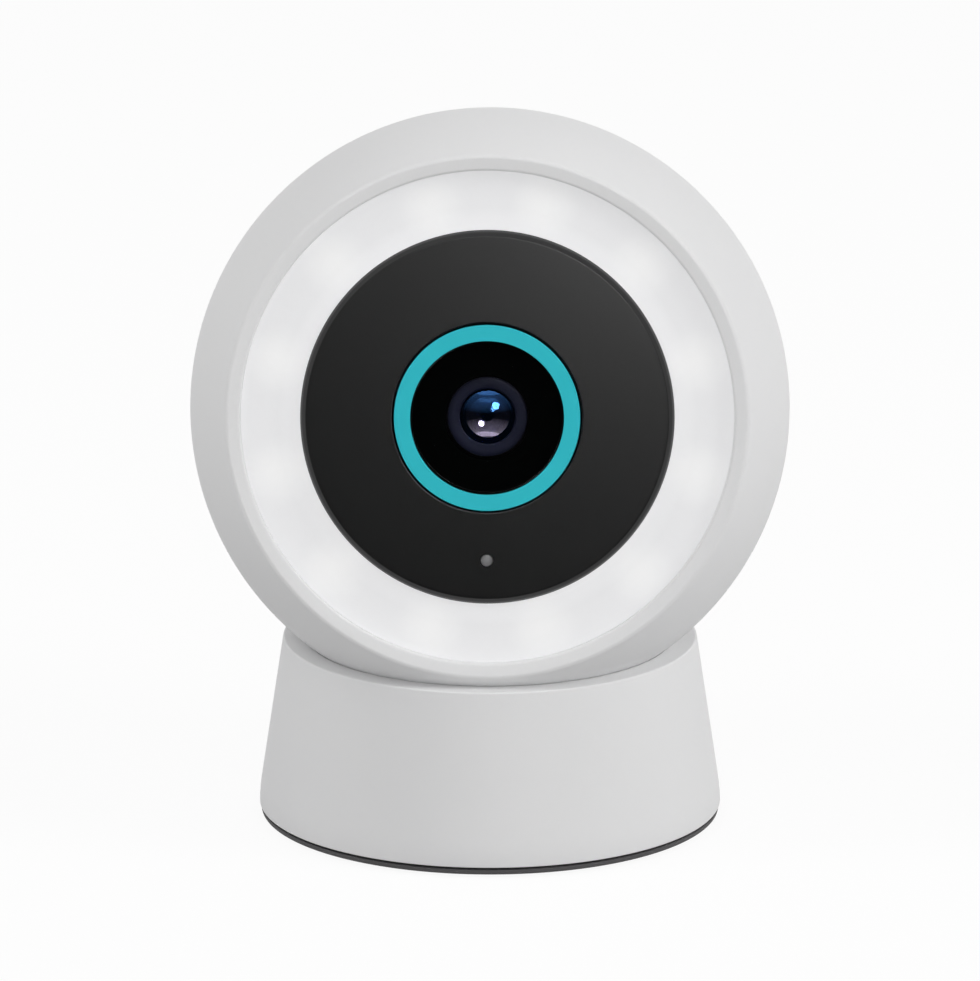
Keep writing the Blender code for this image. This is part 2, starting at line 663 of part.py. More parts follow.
def foot_pad():
    outline = [
        (0, FOOT_THICKNESS),
        (FOOT_RADIUS, FOOT_THICKNESS),
        (FOOT_RADIUS, FOOT_CHAMFER),
        (FOOT_RADIUS - FOOT_CHAMFER, 0),
        (0, 0),
    ]
    pad = turned("foot_pad", outline, BASE_AXIS, SHELL_STEPS)
    half = KEYHOLE_HEAD + FOOT_WINDOW_MARGIN
    length = KEYHOLE_TRAVEL + KEYHOLE_HEAD + KEYHOLE_NECK + 2 * FOOT_WINDOW_MARGIN
    middle = (KEYHOLE_NECK - KEYHOLE_HEAD) / 2
    for side in (-1, 1):
        centre = (side * KEYHOLE_SPACING / 2, middle, FOOT_THICKNESS / 2)
        size = (2 * half, length, FOOT_THICKNESS + 2 * OVERRUN)
        cut(pad, box(f"foot_window_{side}", size, centre, BASE_AXIS, ROUND_SHARE * half))
    return finished(pad, DARK_RUBBER)


def base_screws():
    seat = BASE_BOTTOM + BASE_SCREW_HEAD_HEIGHT + GAP
    for number, angle in enumerate(POST_ANGLES, 1):
        place = around(POST_CIRCLE, angle)
        made = screw(
            f"base_screw_{number}",
            BASE_SCREW_SHANK,
            BASE_SCREW_HEAD,
            BASE_SCREW_HEAD_HEIGHT,
            BASE_SCREW_LENGTH,
            seat,
            BASE_AXIS,
            place,
        )
        finished(made, STEEL)


def pan_bush():
    flange_bottom = BUSH_TOP - BUSH_FLANGE_THICKNESS
    outline = [
        (BUSH_BORE, BUSH_TOP),
        (BUSH_FLANGE_RADIUS, BUSH_TOP),
        (BUSH_FLANGE_RADIUS, flange_bottom),
        (BUSH_RADIUS, flange_bottom),
        (BUSH_RADIUS, SHOULDER_TOP + GAP),
        (BUSH_BORE, SHOULDER_TOP + GAP),
    ]
    return finished(turned("pan_bush", outline, BASE_AXIS), BRONZE)


# The swivel cup that carries the ball, and what turns with it
def cradle_cup():
    groove_in = SEAT_RING_RADIUS - SEAT_RING_WIDTH / 2 - GAP
    groove_out = SEAT_RING_RADIUS + SEAT_RING_WIDTH / 2 + GAP
    groove_floor = cup_height(groove_in) - SEAT_GROOVE_DEPTH
    skirt_in = MAGNET_RADIUS + GAP
    skirt_out = skirt_in + SKIRT_WALL
    screw_hole = PAN_SCREW_SHANK + GAP
    hole_top = PAN_SCREW_TOP + PAN_SCREW_LENGTH + GAP
    groove_angle = 180 - math.degrees(math.asin(groove_in / CUP_RADIUS))
    outline = [
        *arc(CUP_RADIUS, 180, groove_angle, DISH_STEPS, BALL_CENTRE),
        (groove_in, groove_floor),
        (groove_out, groove_floor),
        (groove_out, cup_height(groove_out)),
        (CRADLE_RADIUS, cup_height(CRADLE_RADIUS)),
        (CRADLE_RADIUS, cup_height(CRADLE_RADIUS) - CRADLE_RIM),
        (skirt_out, DISH_BOTTOM),
        (skirt_out, HUB_BOTTOM),
        (skirt_in, HUB_BOTTOM),
        (skirt_in, DISH_BOTTOM),
        (HUB_RADIUS, DISH_BOTTOM),
        (HUB_RADIUS, HUB_BOTTOM),
        (SPINDLE_RADIUS, HUB_BOTTOM),
        (SPINDLE_RADIUS, SPINDLE_END),
        (screw_hole, SPINDLE_END),
        (screw_hole, hole_top),
        (0, hole_top),
    ]
    outline[0] = (0, cup_height(0))
    return finished(turned("cradle_cup", outline, PAN_AXIS, SHELL_STEPS), BLACK_PLASTIC)


def cradle_fittings():
    bore = HUB_RADIUS + GAP
    magnet = ring("cradle_magnet", bore, MAGNET_RADIUS, MAGNET_TOP - MAGNET_THICKNESS, MAGNET_TOP, PAN_AXIS)
    finished(magnet, STEEL)
    yoke = ring("magnet_yoke", bore, MAGNET_RADIUS, HUB_BOTTOM, YOKE_TOP, PAN_AXIS)
    finished(yoke, STEEL)
    inner = SEAT_RING_RADIUS - SEAT_RING_WIDTH / 2
    outer = SEAT_RING_RADIUS + SEAT_RING_WIDTH / 2
    pad_radius = BALL_RADIUS + GAP
    floor = cup_height(inner - GAP) - SEAT_GROOVE_DEPTH + GAP
    outline = [
        (inner, BALL_CENTRE - math.sqrt(pad_radius**2 - inner**2)),
        (outer, BALL_CENTRE - math.sqrt(pad_radius**2 - outer**2)),
        (outer, floor),
        (inner, floor),
    ]
    finished(turned("seat_ring", outline, PAN_AXIS, SHELL_STEPS), DARK_RUBBER)
    made = screw(
        "pan_screw",
        PAN_SCREW_SHANK,
        PAN_SCREW_HEAD,
        PAN_SCREW_HEAD_HEIGHT,
        PAN_SCREW_LENGTH,
        PAN_SCREW_TOP,
        PAN_AXIS,
        (0, 0),
        steps=INNER_STEPS,
    )
    finished(made, STEEL)


def wave_washer():
    """A flat ring bent into waves, between the pan screw's head and the base plate."""
    middle = (PAN_SCREW_TOP + RECESS_TOP) / 2
    bore = BUSH_BORE
    shape = bmesh.new()
    count = WASHER_STEPS * WASHER_WAVES
    corners = []
    for i in range(count):
        angle = 360 * i / count
        rise = WASHER_WAVE * math.sin(math.radians(WASHER_WAVES * angle))
        inner = shape.verts.new((*around(bore, angle), rise))
        outer = shape.verts.new((*around(WASHER_RADIUS, angle), rise))
        corners.append((inner, outer))
    for (inner, outer), (next_inner, next_outer) in zip(corners, corners[1:] + corners[:1]):
        shape.faces.new((inner, outer, next_outer, next_inner))
    mesh = bpy.data.meshes.new("wave_washer")
    shape.to_mesh(mesh)
    shape.free()
    washer = placed("wave_washer", mesh, PAN_AXIS, (0, 0, middle))
    sheet = washer.modifiers.new("sheet", "SOLIDIFY")
    sheet.thickness = WASHER_THICKNESS
    sheet.offset = 0
    return finished(washer, STEEL)


# The white front half of the ball, from the bezel back past the widest line to the seam
def front_housing():
    rim = (RIM_RADIUS, RIM_FRONT)
    opening = (OPENING_RADIUS, OPENING_FRONT)
    rim_angle = math.degrees(math.asin(RIM_RADIUS / BALL_RADIUS))
    seam_angle = math.degrees(math.acos(SEAM / BALL_RADIUS))
    band = arc(BALL_RADIUS, rim_angle, seam_angle, FRONT_STEPS)
    flange_front = SEAM + FLANGE_DEPTH
    inner_start = math.degrees(math.acos(flange_front / BALL_INNER))
    inner_end = math.degrees(math.acos(OPENING_BACK / BALL_INNER))
    outline = [
        opening,
        *rounded(opening, rim, band[1], RIM_ROUND),
        *band[1:],
        (FLANGE_INNER, SEAM),
        (FLANGE_INNER, flange_front),
        *arc(BALL_INNER, inner_start, inner_end, FRONT_INNER_STEPS),
        (OPENING_RADIUS, OPENING_BACK),
    ]
    housing = turned("front_housing", outline, HEAD_AXIS, SHELL_STEPS)
    boss_back = HEAT_SINK_FRONT + GAP
    pilot = CHASSIS_SCREW_SHANK + GAP
    pilot_back = boss_back - OVERRUN
    pilot_front = HEAT_SINK_BACK + CHASSIS_SCREW_LENGTH
    for number, angle in enumerate(CHASSIS_ANGLES, 1):
        place = around(CHASSIS_CIRCLE, angle)
        boss = rod(f"chassis_boss_{number}", CHASSIS_BOSS, boss_back, OPENING_FRONT, HEAD_AXIS, place)
        add(housing, inside_wall(boss))
        name = f"chassis_pilot_{number}"
        cut(housing, rod(name, pilot, pilot_back, pilot_front, HEAD_AXIS, place, SMALL_STEPS))
    return finished(housing, WHITE_PLASTIC)


def diffuser_ring():
    flange_front = OPENING_BACK - GAP
    bore = FACE_RADIUS - FACE_OVERLAP
    raised = OPENING_RADIUS - GAP
    flange = OPENING_RADIUS + DIFFUSER_FLANGE
    outline = [
        (bore, DIFFUSER_FRONT),
        (raised, DIFFUSER_FRONT),
        (raised, flange_front),
        (flange, flange_front),
        (flange, DIFFUSER_BACK),
        (bore, DIFFUSER_BACK),
    ]
    return finished(turned("diffuser_ring", outline, HEAD_AXIS, SHELL_STEPS), FROSTED_PLASTIC)


def face_cover():
    bore = STATUS_RADIUS + GAP
    tube = bore + FACE_WALL
    skirt_in = SKIRT_RADIUS - SKIRT_THICKNESS
    skirt_end = HEAT_SINK_FRONT + GAP
    edge = (FACE_RADIUS, face_height(FACE_RADIUS))
    dome = [bore + (FACE_RADIUS - bore) * i / FACE_STEPS for i in range(FACE_STEPS)]
    outline = [
        *((radius, face_height(radius)) for radius in dome),
        *rounded((dome[-1], face_height(dome[-1])), edge, (FACE_RADIUS, FACE_BACK), FACE_ROUND),
        (FACE_RADIUS, FACE_BACK),
        (SKIRT_RADIUS, FACE_BACK),
        (SKIRT_RADIUS, skirt_end),
        (skirt_in, skirt_end),
        (skirt_in, face_height(skirt_in) - FACE_WALL),
        (tube, face_height(tube) - FACE_WALL),
        (tube, STATUS_BOARD_BACK),
        (bore, STATUS_BOARD_BACK),
    ]
    cover = turned("face_cover", outline, HEAD_AXIS, SHELL_STEPS)
    place = (0, -SENSOR_DOT_DROP)
    front = face_height(0) + OVERRUN
    hole = SENSOR_DOT_RADIUS + GAP
    cut(cover, rod("sensor_hole", hole, HEAT_SINK_FRONT, front, HEAD_AXIS, place))
    return finished(cover, BLACK_PLASTIC)


def status_light():
    """The teal light guide, and the round board that lights it from behind."""
    ledge = WINDOW_BACK - GAP
    ledge_bore = STATUS_BORE - STATUS_LEDGE
    outline = [
        (STATUS_BORE, STATUS_FRONT),
        (STATUS_RADIUS, STATUS_FRONT),
        (STATUS_RADIUS, STATUS_BACK),
        (ledge_bore, STATUS_BACK),
        (ledge_bore, ledge),
        (STATUS_BORE, ledge),
    ]
    finished(turned("status_ring", outline, HEAD_AXIS, SHELL_STEPS), TEAL_PLASTIC)
    board_front = STATUS_BACK - GAP
    inner = STATUS_RADIUS - STATUS_BOARD_WIDTH
    board = ring("status_board", inner, STATUS_RADIUS, STATUS_BOARD_BACK, board_front, HEAD_AXIS)
    finished(board, WHITE_BOARD)


def lens_window():
    window = rod("lens_window", STATUS_BORE - GAP, WINDOW_BACK, WINDOW_FRONT, HEAD_AXIS, sides=SHELL_STEPS)
    return finished(window, BLACK_GLASS)


def light_pipe():
    """The small window of the light sensor, below the lens."""
    front = face_height(SENSOR_DOT_DROP) - GAP
    place = (0, -SENSOR_DOT_DROP)
    pipe = rod("light_pipe", SENSOR_DOT_RADIUS, front - SENSOR_DOT_LENGTH, front, HEAD_AXIS, place)
    return finished(pipe, GREY_PLASTIC)


# The lens, its holder and the image sensor
def lens():
    seat_bore = LENS_GLASS_RADIUS + GAP
    seat = GLASS_BACK - GAP
    barrel = [
        (seat_bore, BARREL_FRONT),
        (LENS_FLANGE_RADIUS, BARREL_FRONT),
        (LENS_FLANGE_RADIUS, BARREL_STEP),
        (LENS_THREAD_RADIUS, BARREL_STEP),
        (LENS_THREAD_RADIUS, BARREL_BACK),
        (LENS_BORE, BARREL_BACK),
        (LENS_BORE, seat),
        (seat_bore, seat),
    ]
    finished(turned("lens_barrel", barrel, HEAD_AXIS), BLACK_PLASTIC)
    dome_radius = (LENS_GLASS_RADIUS**2 + LENS_CROWN**2) / (2 * LENS_CROWN)
    dome_angle = math.degrees(math.asin(LENS_GLASS_RADIUS / dome_radius))
    glass = [
        *arc(dome_radius, 0, dome_angle, LENS_STEPS, LENS_TIP - dome_radius),
        (LENS_GLASS_RADIUS, GLASS_BACK),
        (0, GLASS_BACK),
    ]
    finished(turned("lens_front_element", glass, HEAD_AXIS), COATED_GLASS)
    rear_bottom = BARREL_BACK + GAP
    rear_top = rear_bottom + REAR_GLASS_THICKNESS
    rear = rod("lens_rear_element", LENS_BORE - GAP, rear_bottom, rear_top, HEAD_AXIS)
    finished(rear, COATED_GLASS)
    back = BARREL_FRONT + GAP
    front = back + RETAINER_THICKNESS
    retainer = ring("lens_retainer", LENS_GLASS_RADIUS, RETAINER_RADIUS, back, front, HEAD_AXIS)
    finished(retainer, COATED_GLASS)


def lens_holder():
    bottom = SENSOR_BOARD_FRONT + GAP
    base_top = bottom + HOLDER_BASE
    base_size = (HOLDER_SIDE, HOLDER_SIDE, HOLDER_BASE)
    holder = box("lens_holder", base_size, (0, 0, (bottom + base_top) / 2), HEAD_AXIS)
    tube_top = BARREL_STEP - GAP
    into_base = bottom + HOLDER_BASE / 2
    add(holder, rod("holder_tube", HOLDER_RADIUS, into_base, tube_top, HEAD_AXIS, sides=INNER_STEPS))
    bore_top = tube_top + OVERRUN
    bore_bottom = bottom - OVERRUN
    cut(holder, rod("holder_bore", HOLDER_BORE, bore_bottom, bore_top, HEAD_AXIS, sides=INNER_STEPS))
    return finished(holder, BLACK_PLASTIC)


def image_sensor():
    size = (IMAGE_SENSOR_SIDE, IMAGE_SENSOR_SIDE, IMAGE_SENSOR_HEIGHT)
    centre = (0, 0, SENSOR_FRONT - IMAGE_SENSOR_HEIGHT / 2)
    finished(box("image_sensor", size, centre, HEAD_AXIS), BLACK_GLASS)
    board_size = (SENSOR_BOARD_SIDE, SENSOR_BOARD_SIDE, BOARD_THICKNESS)
    board_centre = (0, 0, (SENSOR_BOARD_FRONT + SENSOR_BOARD_BACK) / 2)
    finished(box("sensor_board", board_size, board_centre, HEAD_AXIS), GREEN_BOARD)


# The ring light on its heat sink, which is also the chassis of the head
def led_board():
    inner = SKIRT_RADIUS + 2 * GAP
    outer = LED_CIRCLE + LED_SIDE / 2 + LED_BOARD_MARGIN
    back = LED_BOARD_FRONT - BOARD_THICKNESS
    board = ring("led_board", inner, outer, back, LED_BOARD_FRONT, HEAD_AXIS, SHELL_STEPS)
    for number in range(LED_COUNT):
        angle = 360 * (number + 0.5) / LED_COUNT
        height = LED_HEIGHT + BOARD_THICKNESS / 2
        centre = (*around(LED_CIRCLE, angle), LED_FRONT - height / 2)
        led = box(f"led_{number}", (LED_SIDE, LED_SIDE, height), centre, HEAD_AXIS)
        led.rotation_euler.z = math.radians(angle)
        add(board, led)
    return finished(board, WHITE_BOARD)


def heat_sink():
    bore = HOLDER_RADIUS + 2 * GAP
    back, front = HEAT_SINK_BACK, HEAT_SINK_FRONT
    below, above = back - OVERRUN, front + OVERRUN
    sink = ring("heat_sink", bore, HEAT_SINK_RADIUS, back, front, HEAD_AXIS, SHELL_STEPS)
    into_plate = back + HEAT_SINK_THICKNESS / 2
    for number in range(LED_COUNT):
        angle = 360 * (number + 0.5) / LED_COUNT
        size = (FIN_OUTER - FIN_INNER, FIN_THICKNESS, FIN_DEPTH + HEAT_SINK_THICKNESS / 2)
        place = around((FIN_OUTER + FIN_INNER) / 2, angle)
        fin = box(f"fin_{number}", size, (*place, into_plate - size[2] / 2), HEAD_AXIS)
        fin.rotation_euler.z = math.radians(angle)
        add(sink, fin)
    post_back = MAIN_BOARD_FRONT + GAP
    pilot = HOUSING_SCREW_SHANK + GAP
    pilot_back = post_back - OVERRUN
    pilot_front = SCREW_SEAT + HOUSING_SCREW_LENGTH + GAP
    for number, angle in enumerate(TOWER_ANGLES, 1):
        place = around(TOWER_CIRCLE, angle)
        name = f"chassis_post_{number}"
        add(sink, rod(name, CHASSIS_POST_RADIUS, post_back, into_plate, HEAD_AXIS, place))
        name = f"post_pilot_{number}"
        cut(sink, rod(name, pilot, pilot_back, pilot_front, HEAD_AXIS, place, SMALL_STEPS))
    hole = CHASSIS_SCREW_SHANK + GAP
    for number, angle in enumerate(CHASSIS_ANGLES, 1):
        place = around(CHASSIS_CIRCLE, angle)
        cut(sink, rod(f"chassis_hole_{number}", hole, below, above, HEAD_AXIS, place, SMALL_STEPS))
    inset = SENSOR_BOARD_SIDE / 2 - SENSOR_POST_INSET
    post_back = SENSOR_BOARD_FRONT + GAP
    for number, (x, y) in enumerate(((-1, -1), (-1, 1), (1, 1), (1, -1)), 1):
        place = (x * inset, y * inset)
        name = f"sensor_post_{number}"
        add(sink, rod(name, SENSOR_POST_RADIUS, post_back, into_plate, HEAD_AXIS, place, SMALL_STEPS))
    cut(sink, rod("wire_hole", WIRE_HOLE, below, above, HEAD_AXIS, (0, -WIRE_HOLE_DROP)))
    return finished(sink, ALUMINIUM)


def chassis_screws():
    for number, angle in enumerate(CHASSIS_ANGLES, 1):
        made = screw(
            f"chassis_screw_{number}",
            CHASSIS_SCREW_SHANK,
            CHASSIS_SCREW_HEAD,
            CHASSIS_SCREW_HEAD_HEIGHT,
            CHASSIS_SCREW_LENGTH - GAP,
            HEAT_SINK_BACK - GAP,
            HEAD_AXIS,
            around(CHASSIS_CIRCLE, angle),
        )
        finished(made, STEEL)


# The rear half of the ball, with the port bay, the speaker grille and three screw wells
def rear_shell():
    seam_angle = math.degrees(math.acos(REAR_SEAM / BALL_RADIUS))
    flange_back = REAR_SEAM - FLANGE_DEPTH
    inner_end = math.degrees(math.acos(flange_back / BALL_INNER))
    groove_out = math.sqrt(BALL_RADIUS**2 - REAR_SEAM**2) - SEAL_INSET + GAP
    groove_in = groove_out - SEAL_WIDTH - 2 * GAP
    groove_floor = REAR_SEAM - SEAL_DEPTH - GAP
    inner = arc(BALL_INNER, 180, inner_end, REAR_INNER_STEPS)
    outer = arc(BALL_RADIUS, seam_angle, 180, REAR_STEPS)
    outline = [
        (0, -BALL_INNER),
        *inner[1:],
        (FLANGE_INNER, flange_back),
        (FLANGE_INNER, REAR_SEAM),
        (groove_in, REAR_SEAM),
        (groove_in, groove_floor),
        (groove_out, groove_floor),
        (groove_out, REAR_SEAM),
        *outer[:-1],
        (0, -BALL_RADIUS),
    ]
    shell = turned("rear_shell", outline, HEAD_AXIS, SHELL_STEPS)
    add_bay(shell)
    add_speaker_collar(shell)
    add_screw_towers(shell)
    return finished(shell, WHITE_PLASTIC)


def add_bay(shell):
    """A sunk bay with round ends and a flat floor, open for the socket, the card slot and the button."""
    far = BALL_RADIUS + OVERRUN
    block_length = BAY_LENGTH + 2 * BAY_WALL
    block_width = BAY_WIDTH + 2 * BAY_WALL
    add(shell, inside_wall(slot("bay_block", block_length, block_width, BAY_INSIDE, far, PORT_AXIS)))
    cut(shell, slot("bay_pocket", BAY_LENGTH, BAY_WIDTH, BAY_BOTTOM, far, PORT_AXIS))
    below = BAY_INSIDE - OVERRUN
    socket = (SOCKET_WIDTH + 2 * GAP, SOCKET_HEIGHT + 2 * GAP)
    card = (CARD_WIDTH + 2 * GAP, CARD_HEIGHT + 2 * GAP, far - below)
    cut(
        shell,
        slot("socket_hole", *socket, below, far, PORT_AXIS, (SOCKET_OFFSET, 0)),
        box("card_hole", card, (CARD_OFFSET, 0, (far + below) / 2), PORT_AXIS),
        rod("button_hole", BUTTON_RADIUS + GAP, below, far, PORT_AXIS, (BUTTON_OFFSET, 0)),
    )


def add_speaker_collar(shell):
    """The collar that the speaker sits in, and the grille of round holes in front of it."""
    bore = SPEAKER_RADIUS + GAP
    end = SPEAKER_FRONT - SPEAKER_COLLAR_GRIP
    collar = ring("speaker_collar", bore, bore + SPEAKER_COLLAR_WALL, end, BALL_RADIUS, SPEAKER_AXIS)
    add(shell, inside_wall(collar))
    far = BALL_RADIUS + OVERRUN
    number = 0
    for across in range(-GRILLE_RINGS, GRILLE_RINGS + 1):
        for along in range(-GRILLE_RINGS, GRILLE_RINGS + 1):
            if abs(across + along) > GRILLE_RINGS:
                continue
            number += 1
            place = (GRILLE_PITCH * (across + along / 2), GRILLE_PITCH * along * math.sqrt(3) / 2)
            name = f"grille_{number}"
            cut(shell, rod(name, GRILLE_HOLE, SPEAKER_FRONT, far, SPEAKER_AXIS, place, SMALL_STEPS))


def add_screw_towers(shell):
    well = HOUSING_SCREW_HEAD + WELL_CLEARANCE
    hole = HOUSING_SCREW_SHANK + GAP
    behind = -BALL_RADIUS - OVERRUN
    for number, angle in enumerate(TOWER_ANGLES, 1):
        place = around(TOWER_CIRCLE, angle)
        tower = rod(f"tower_{number}", TOWER_RADIUS, -BALL_RADIUS, TOWER_FRONT, HEAD_AXIS, place)
        add(shell, inside_wall(tower))
        cut(
            shell,
            rod(f"well_{number}", well, behind, SCREW_SEAT, HEAD_AXIS, place),
            rod(f"tower_hole_{number}", hole, behind, TOWER_FRONT + OVERRUN, HEAD_AXIS, place, SMALL_STEPS),
        )


def housing_screws():
    for number, angle in enumerate(TOWER_ANGLES, 1):
        made = screw(
            f"housing_screw_{number}",
            HOUSING_SCREW_SHANK,
            HOUSING_SCREW_HEAD,
            HOUSING_SCREW_HEAD_HEIGHT,
            HOUSING_SCREW_LENGTH,
            SCREW_SEAT - GAP,
            HEAD_AXIS,
            around(TOWER_CIRCLE, angle),
            steps=ROD_SIDES,
        )
        finished(made, STEEL)


def housing_seal():
    outer = math.sqrt(BALL_RADIUS**2 - REAR_SEAM**2) - SEAL_INSET
    inner = outer - SEAL_WIDTH
    floor = REAR_SEAM - SEAL_DEPTH
    seal = ring("housing_seal", inner, outer, floor, REAR_SEAM, HEAD_AXIS, SHELL_STEPS)
    return finished(seal, DARK_RUBBER)


def main_board():
    """The round main board and its chips, clamped between the chassis posts and the rear towers."""
    back, front = MAIN_BOARD_BACK, MAIN_BOARD_FRONT
    board = rod("main_board", MAIN_BOARD_RADIUS, back, front, HEAD_AXIS, sides=INNER_STEPS)
    for name, size, height, place in CHIPS:
        depth = height + BOARD_THICKNESS / 2
        centre = (*place, back - height + depth / 2)
        add(board, box(name, (*size, depth), centre, HEAD_AXIS))
    below, above = back - OVERRUN, front + OVERRUN
    hole = HOUSING_SCREW_SHANK + GAP
    for number, angle in enumerate(TOWER_ANGLES, 1):
        place = around(TOWER_CIRCLE, angle)
        cut(board, rod(f"board_hole_{number}", hole, below, above, HEAD_AXIS, place, SMALL_STEPS))
    return finished(board, GREEN_BOARD)


def wifi_antenna():
    size = (ANTENNA_LENGTH, ANTENNA_THICKNESS, ANTENNA_HEIGHT)
    centre = (0, ANTENNA_RISE, MAIN_BOARD_BACK - GAP - ANTENNA_HEIGHT / 2)
    return finished(box("wifi_antenna", size, centre, HEAD_AXIS), GREEN_BOARD)


def speaker():
    back = SPEAKER_FRONT - SPEAKER_DEPTH
    rim_inner = SPEAKER_RADIUS - SPEAKER_RIM
    cone_foot = SPEAKER_FRONT - SPEAKER_DISH
    outline = [
        (0, cone_foot + SPEAKER_CAP_RISE),
        (SPEAKER_CAP_RADIUS, cone_foot),
        (rim_inner, SPEAKER_FRONT - GAP),
        (rim_inner, SPEAKER_FRONT),
        (SPEAKER_RADIUS, SPEAKER_FRONT),
        (SPEAKER_RADIUS, SPEAKER_FRONT - SPEAKER_RIM),
        (SPEAKER_MAGNET_RADIUS, SPEAKER_FRONT - SPEAKER_DEPTH / 2),
        (SPEAKER_MAGNET_RADIUS, back),
        (0, back),
    ]
    return finished(turned("speaker", outline, SPEAKER_AXIS), BLACK_PLASTIC)


def keeper_plate(name, angles):
    """A strip of steel bent to the ball's inner wall. Its angles run from straight down to the rear."""
    start, end = angles
    outer = BALL_INNER - KEEPER_GLUE
    points = []
    for i in range(KEEPER_STEPS + 1):
        x = KEEPER_HALF_WIDTH * (1 - 2 * i / KEEPER_STEPS)
        reach = math.sqrt(outer**2 - x**2)
        angle = math.radians(start)
        points.append((x, -reach * math.cos(angle), -reach * math.sin(angle)))
    mesh = bpy.data.meshes.new(name)
    mesh.from_pydata(points, [(i, i + 1) for i in range(KEEPER_STEPS)], [])
    plate = placed(name, mesh, HEAD_AXIS)
    sweep = plate.modifiers.new("sweep", "SCREW")
    sweep.axis = "X"
    sweep.angle = math.radians(end - start)
    sweep.steps = sweep.render_steps = max(2, round((end - start) / KEEPER_STEP_ANGLE))
    sheet = plate.modifiers.new("sheet", "SOLIDIFY")
    sheet.thickness = KEEPER_THICKNESS
    sheet.offset = -1
    return finished(plate, STEEL)


# What sits behind the port bay
def power_socket():
    """A reversible power socket: an oval steel shell round a thin tongue."""
    bottom = BAY_BOTTOM - SOCKET_LENGTH
    place = (SOCKET_OFFSET, 0)
    socket = slot("power_socket", SOCKET_WIDTH, SOCKET_HEIGHT, bottom, BAY_BOTTOM, PORT_AXIS, place)
    width, height = SOCKET_WIDTH - 2 * SOCKET_WALL, SOCKET_HEIGHT - 2 * SOCKET_WALL
    floor = BAY_BOTTOM - SOCKET_CAVITY
    cut(socket, slot("socket_cavity", width, height, floor, BAY_BOTTOM + OVERRUN, PORT_AXIS, place))
    tongue_bottom = floor - (floor - bottom) / 2
    tongue_top = floor + TONGUE_LENGTH
    size = (TONGUE_WIDTH, TONGUE_HEIGHT, tongue_top - tongue_bottom)
    add(socket, box("socket_tongue", size, (*place, (tongue_top + tongue_bottom) / 2), PORT_AXIS))
    return finished(socket, STEEL)


def card_socket():
    bottom = BAY_BOTTOM - CARD_LENGTH
    size = (CARD_WIDTH, CARD_HEIGHT, CARD_LENGTH)
    socket = box("card_socket", size, (CARD_OFFSET, 0, (bottom + BAY_BOTTOM) / 2), PORT_AXIS)
    floor = BAY_BOTTOM - CARD_CAVITY
    top = BAY_BOTTOM + OVERRUN
    hollow = (CARD_WIDTH - 2 * CARD_WALL, CARD_HEIGHT - 2 * CARD_WALL, top - floor)
    cut(socket, box("card_cavity", hollow, (CARD_OFFSET, 0, (top + floor) / 2), PORT_AXIS))
    return finished(socket, STEEL)


def port_board():
    size = (PORT_BOARD_LENGTH, PORT_BOARD_THICKNESS, PORT_BOARD_DEPTH)
    across = PORT_BOARD_SIDE + PORT_BOARD_THICKNESS / 2
    centre = (0, across, PORT_BOARD_TOP - PORT_BOARD_DEPTH / 2)
    return finished(box("port_board", size, centre, PORT_AXIS), GREEN_BOARD)


def reset_switch():
    size = (SWITCH_SIDE, SWITCH_SIDE, SWITCH_DEPTH)
    centre = (BUTTON_OFFSET, 0, SWITCH_TOP - SWITCH_DEPTH / 2)
    return finished(box("reset_switch", size, centre, PORT_AXIS), BLACK_PLASTIC)


def reset_button():
    top = BAY_BOTTOM + BUTTON_PROUD
    outline = [
        (0, top),
        (BUTTON_RADIUS, top),
        (BUTTON_RADIUS, BUTTON_FLANGE_TOP),
        (BUTTON_FLANGE_RADIUS, BUTTON_FLANGE_TOP),
        (BUTTON_FLANGE_RADIUS, BUTTON_FLANGE_BOTTOM),
        (BUTTON_STEM_RADIUS, BUTTON_FLANGE_BOTTOM),
        (BUTTON_STEM_RADIUS, BUTTON_END),
        (0, BUTTON_END),
    ]
    button = turned("reset_button", outline, PORT_AXIS, ROD_SIDES, (BUTTON_OFFSET, 0, 0))
    return finished(button, GREY_PLASTIC)


def lead(name, route):
    """A thin bundle of wires on one smooth curve through its route's points, in the head's frame."""
    stops = [Vector(point) for point in route]
    padded = [2 * stops[0] - stops[1], *stops, 2 * stops[-1] - stops[-2]]
    points = []
    for a, b, c, d in zip(padded, padded[1:], padded[2:], padded[3:]):
        for i in range(LEAD_SAMPLES):
            t = i / LEAD_SAMPLES
            bend = 2 * b + (c - a) * t + (2 * a - 5 * b + 4 * c - d) * t**2 + (3 * b - a - 3 * c + d) * t**3
            points.append(bend / 2)
    points.append(stops[-1])
    curve = bpy.data.curves.new(name, "CURVE")
    curve.dimensions = "3D"
    curve.bevel_depth = LEAD_RADIUS
    curve.bevel_resolution = LEAD_ROUNDNESS
    curve.use_fill_caps = True
    spline = curve.splines.new("POLY")
    spline.points.add(len(points) - 1)
    for target, point in zip(spline.points, points):
        target.co = (*point, 1)
    return finished(placed(name, curve, HEAD_AXIS), BLACK_PLASTIC)


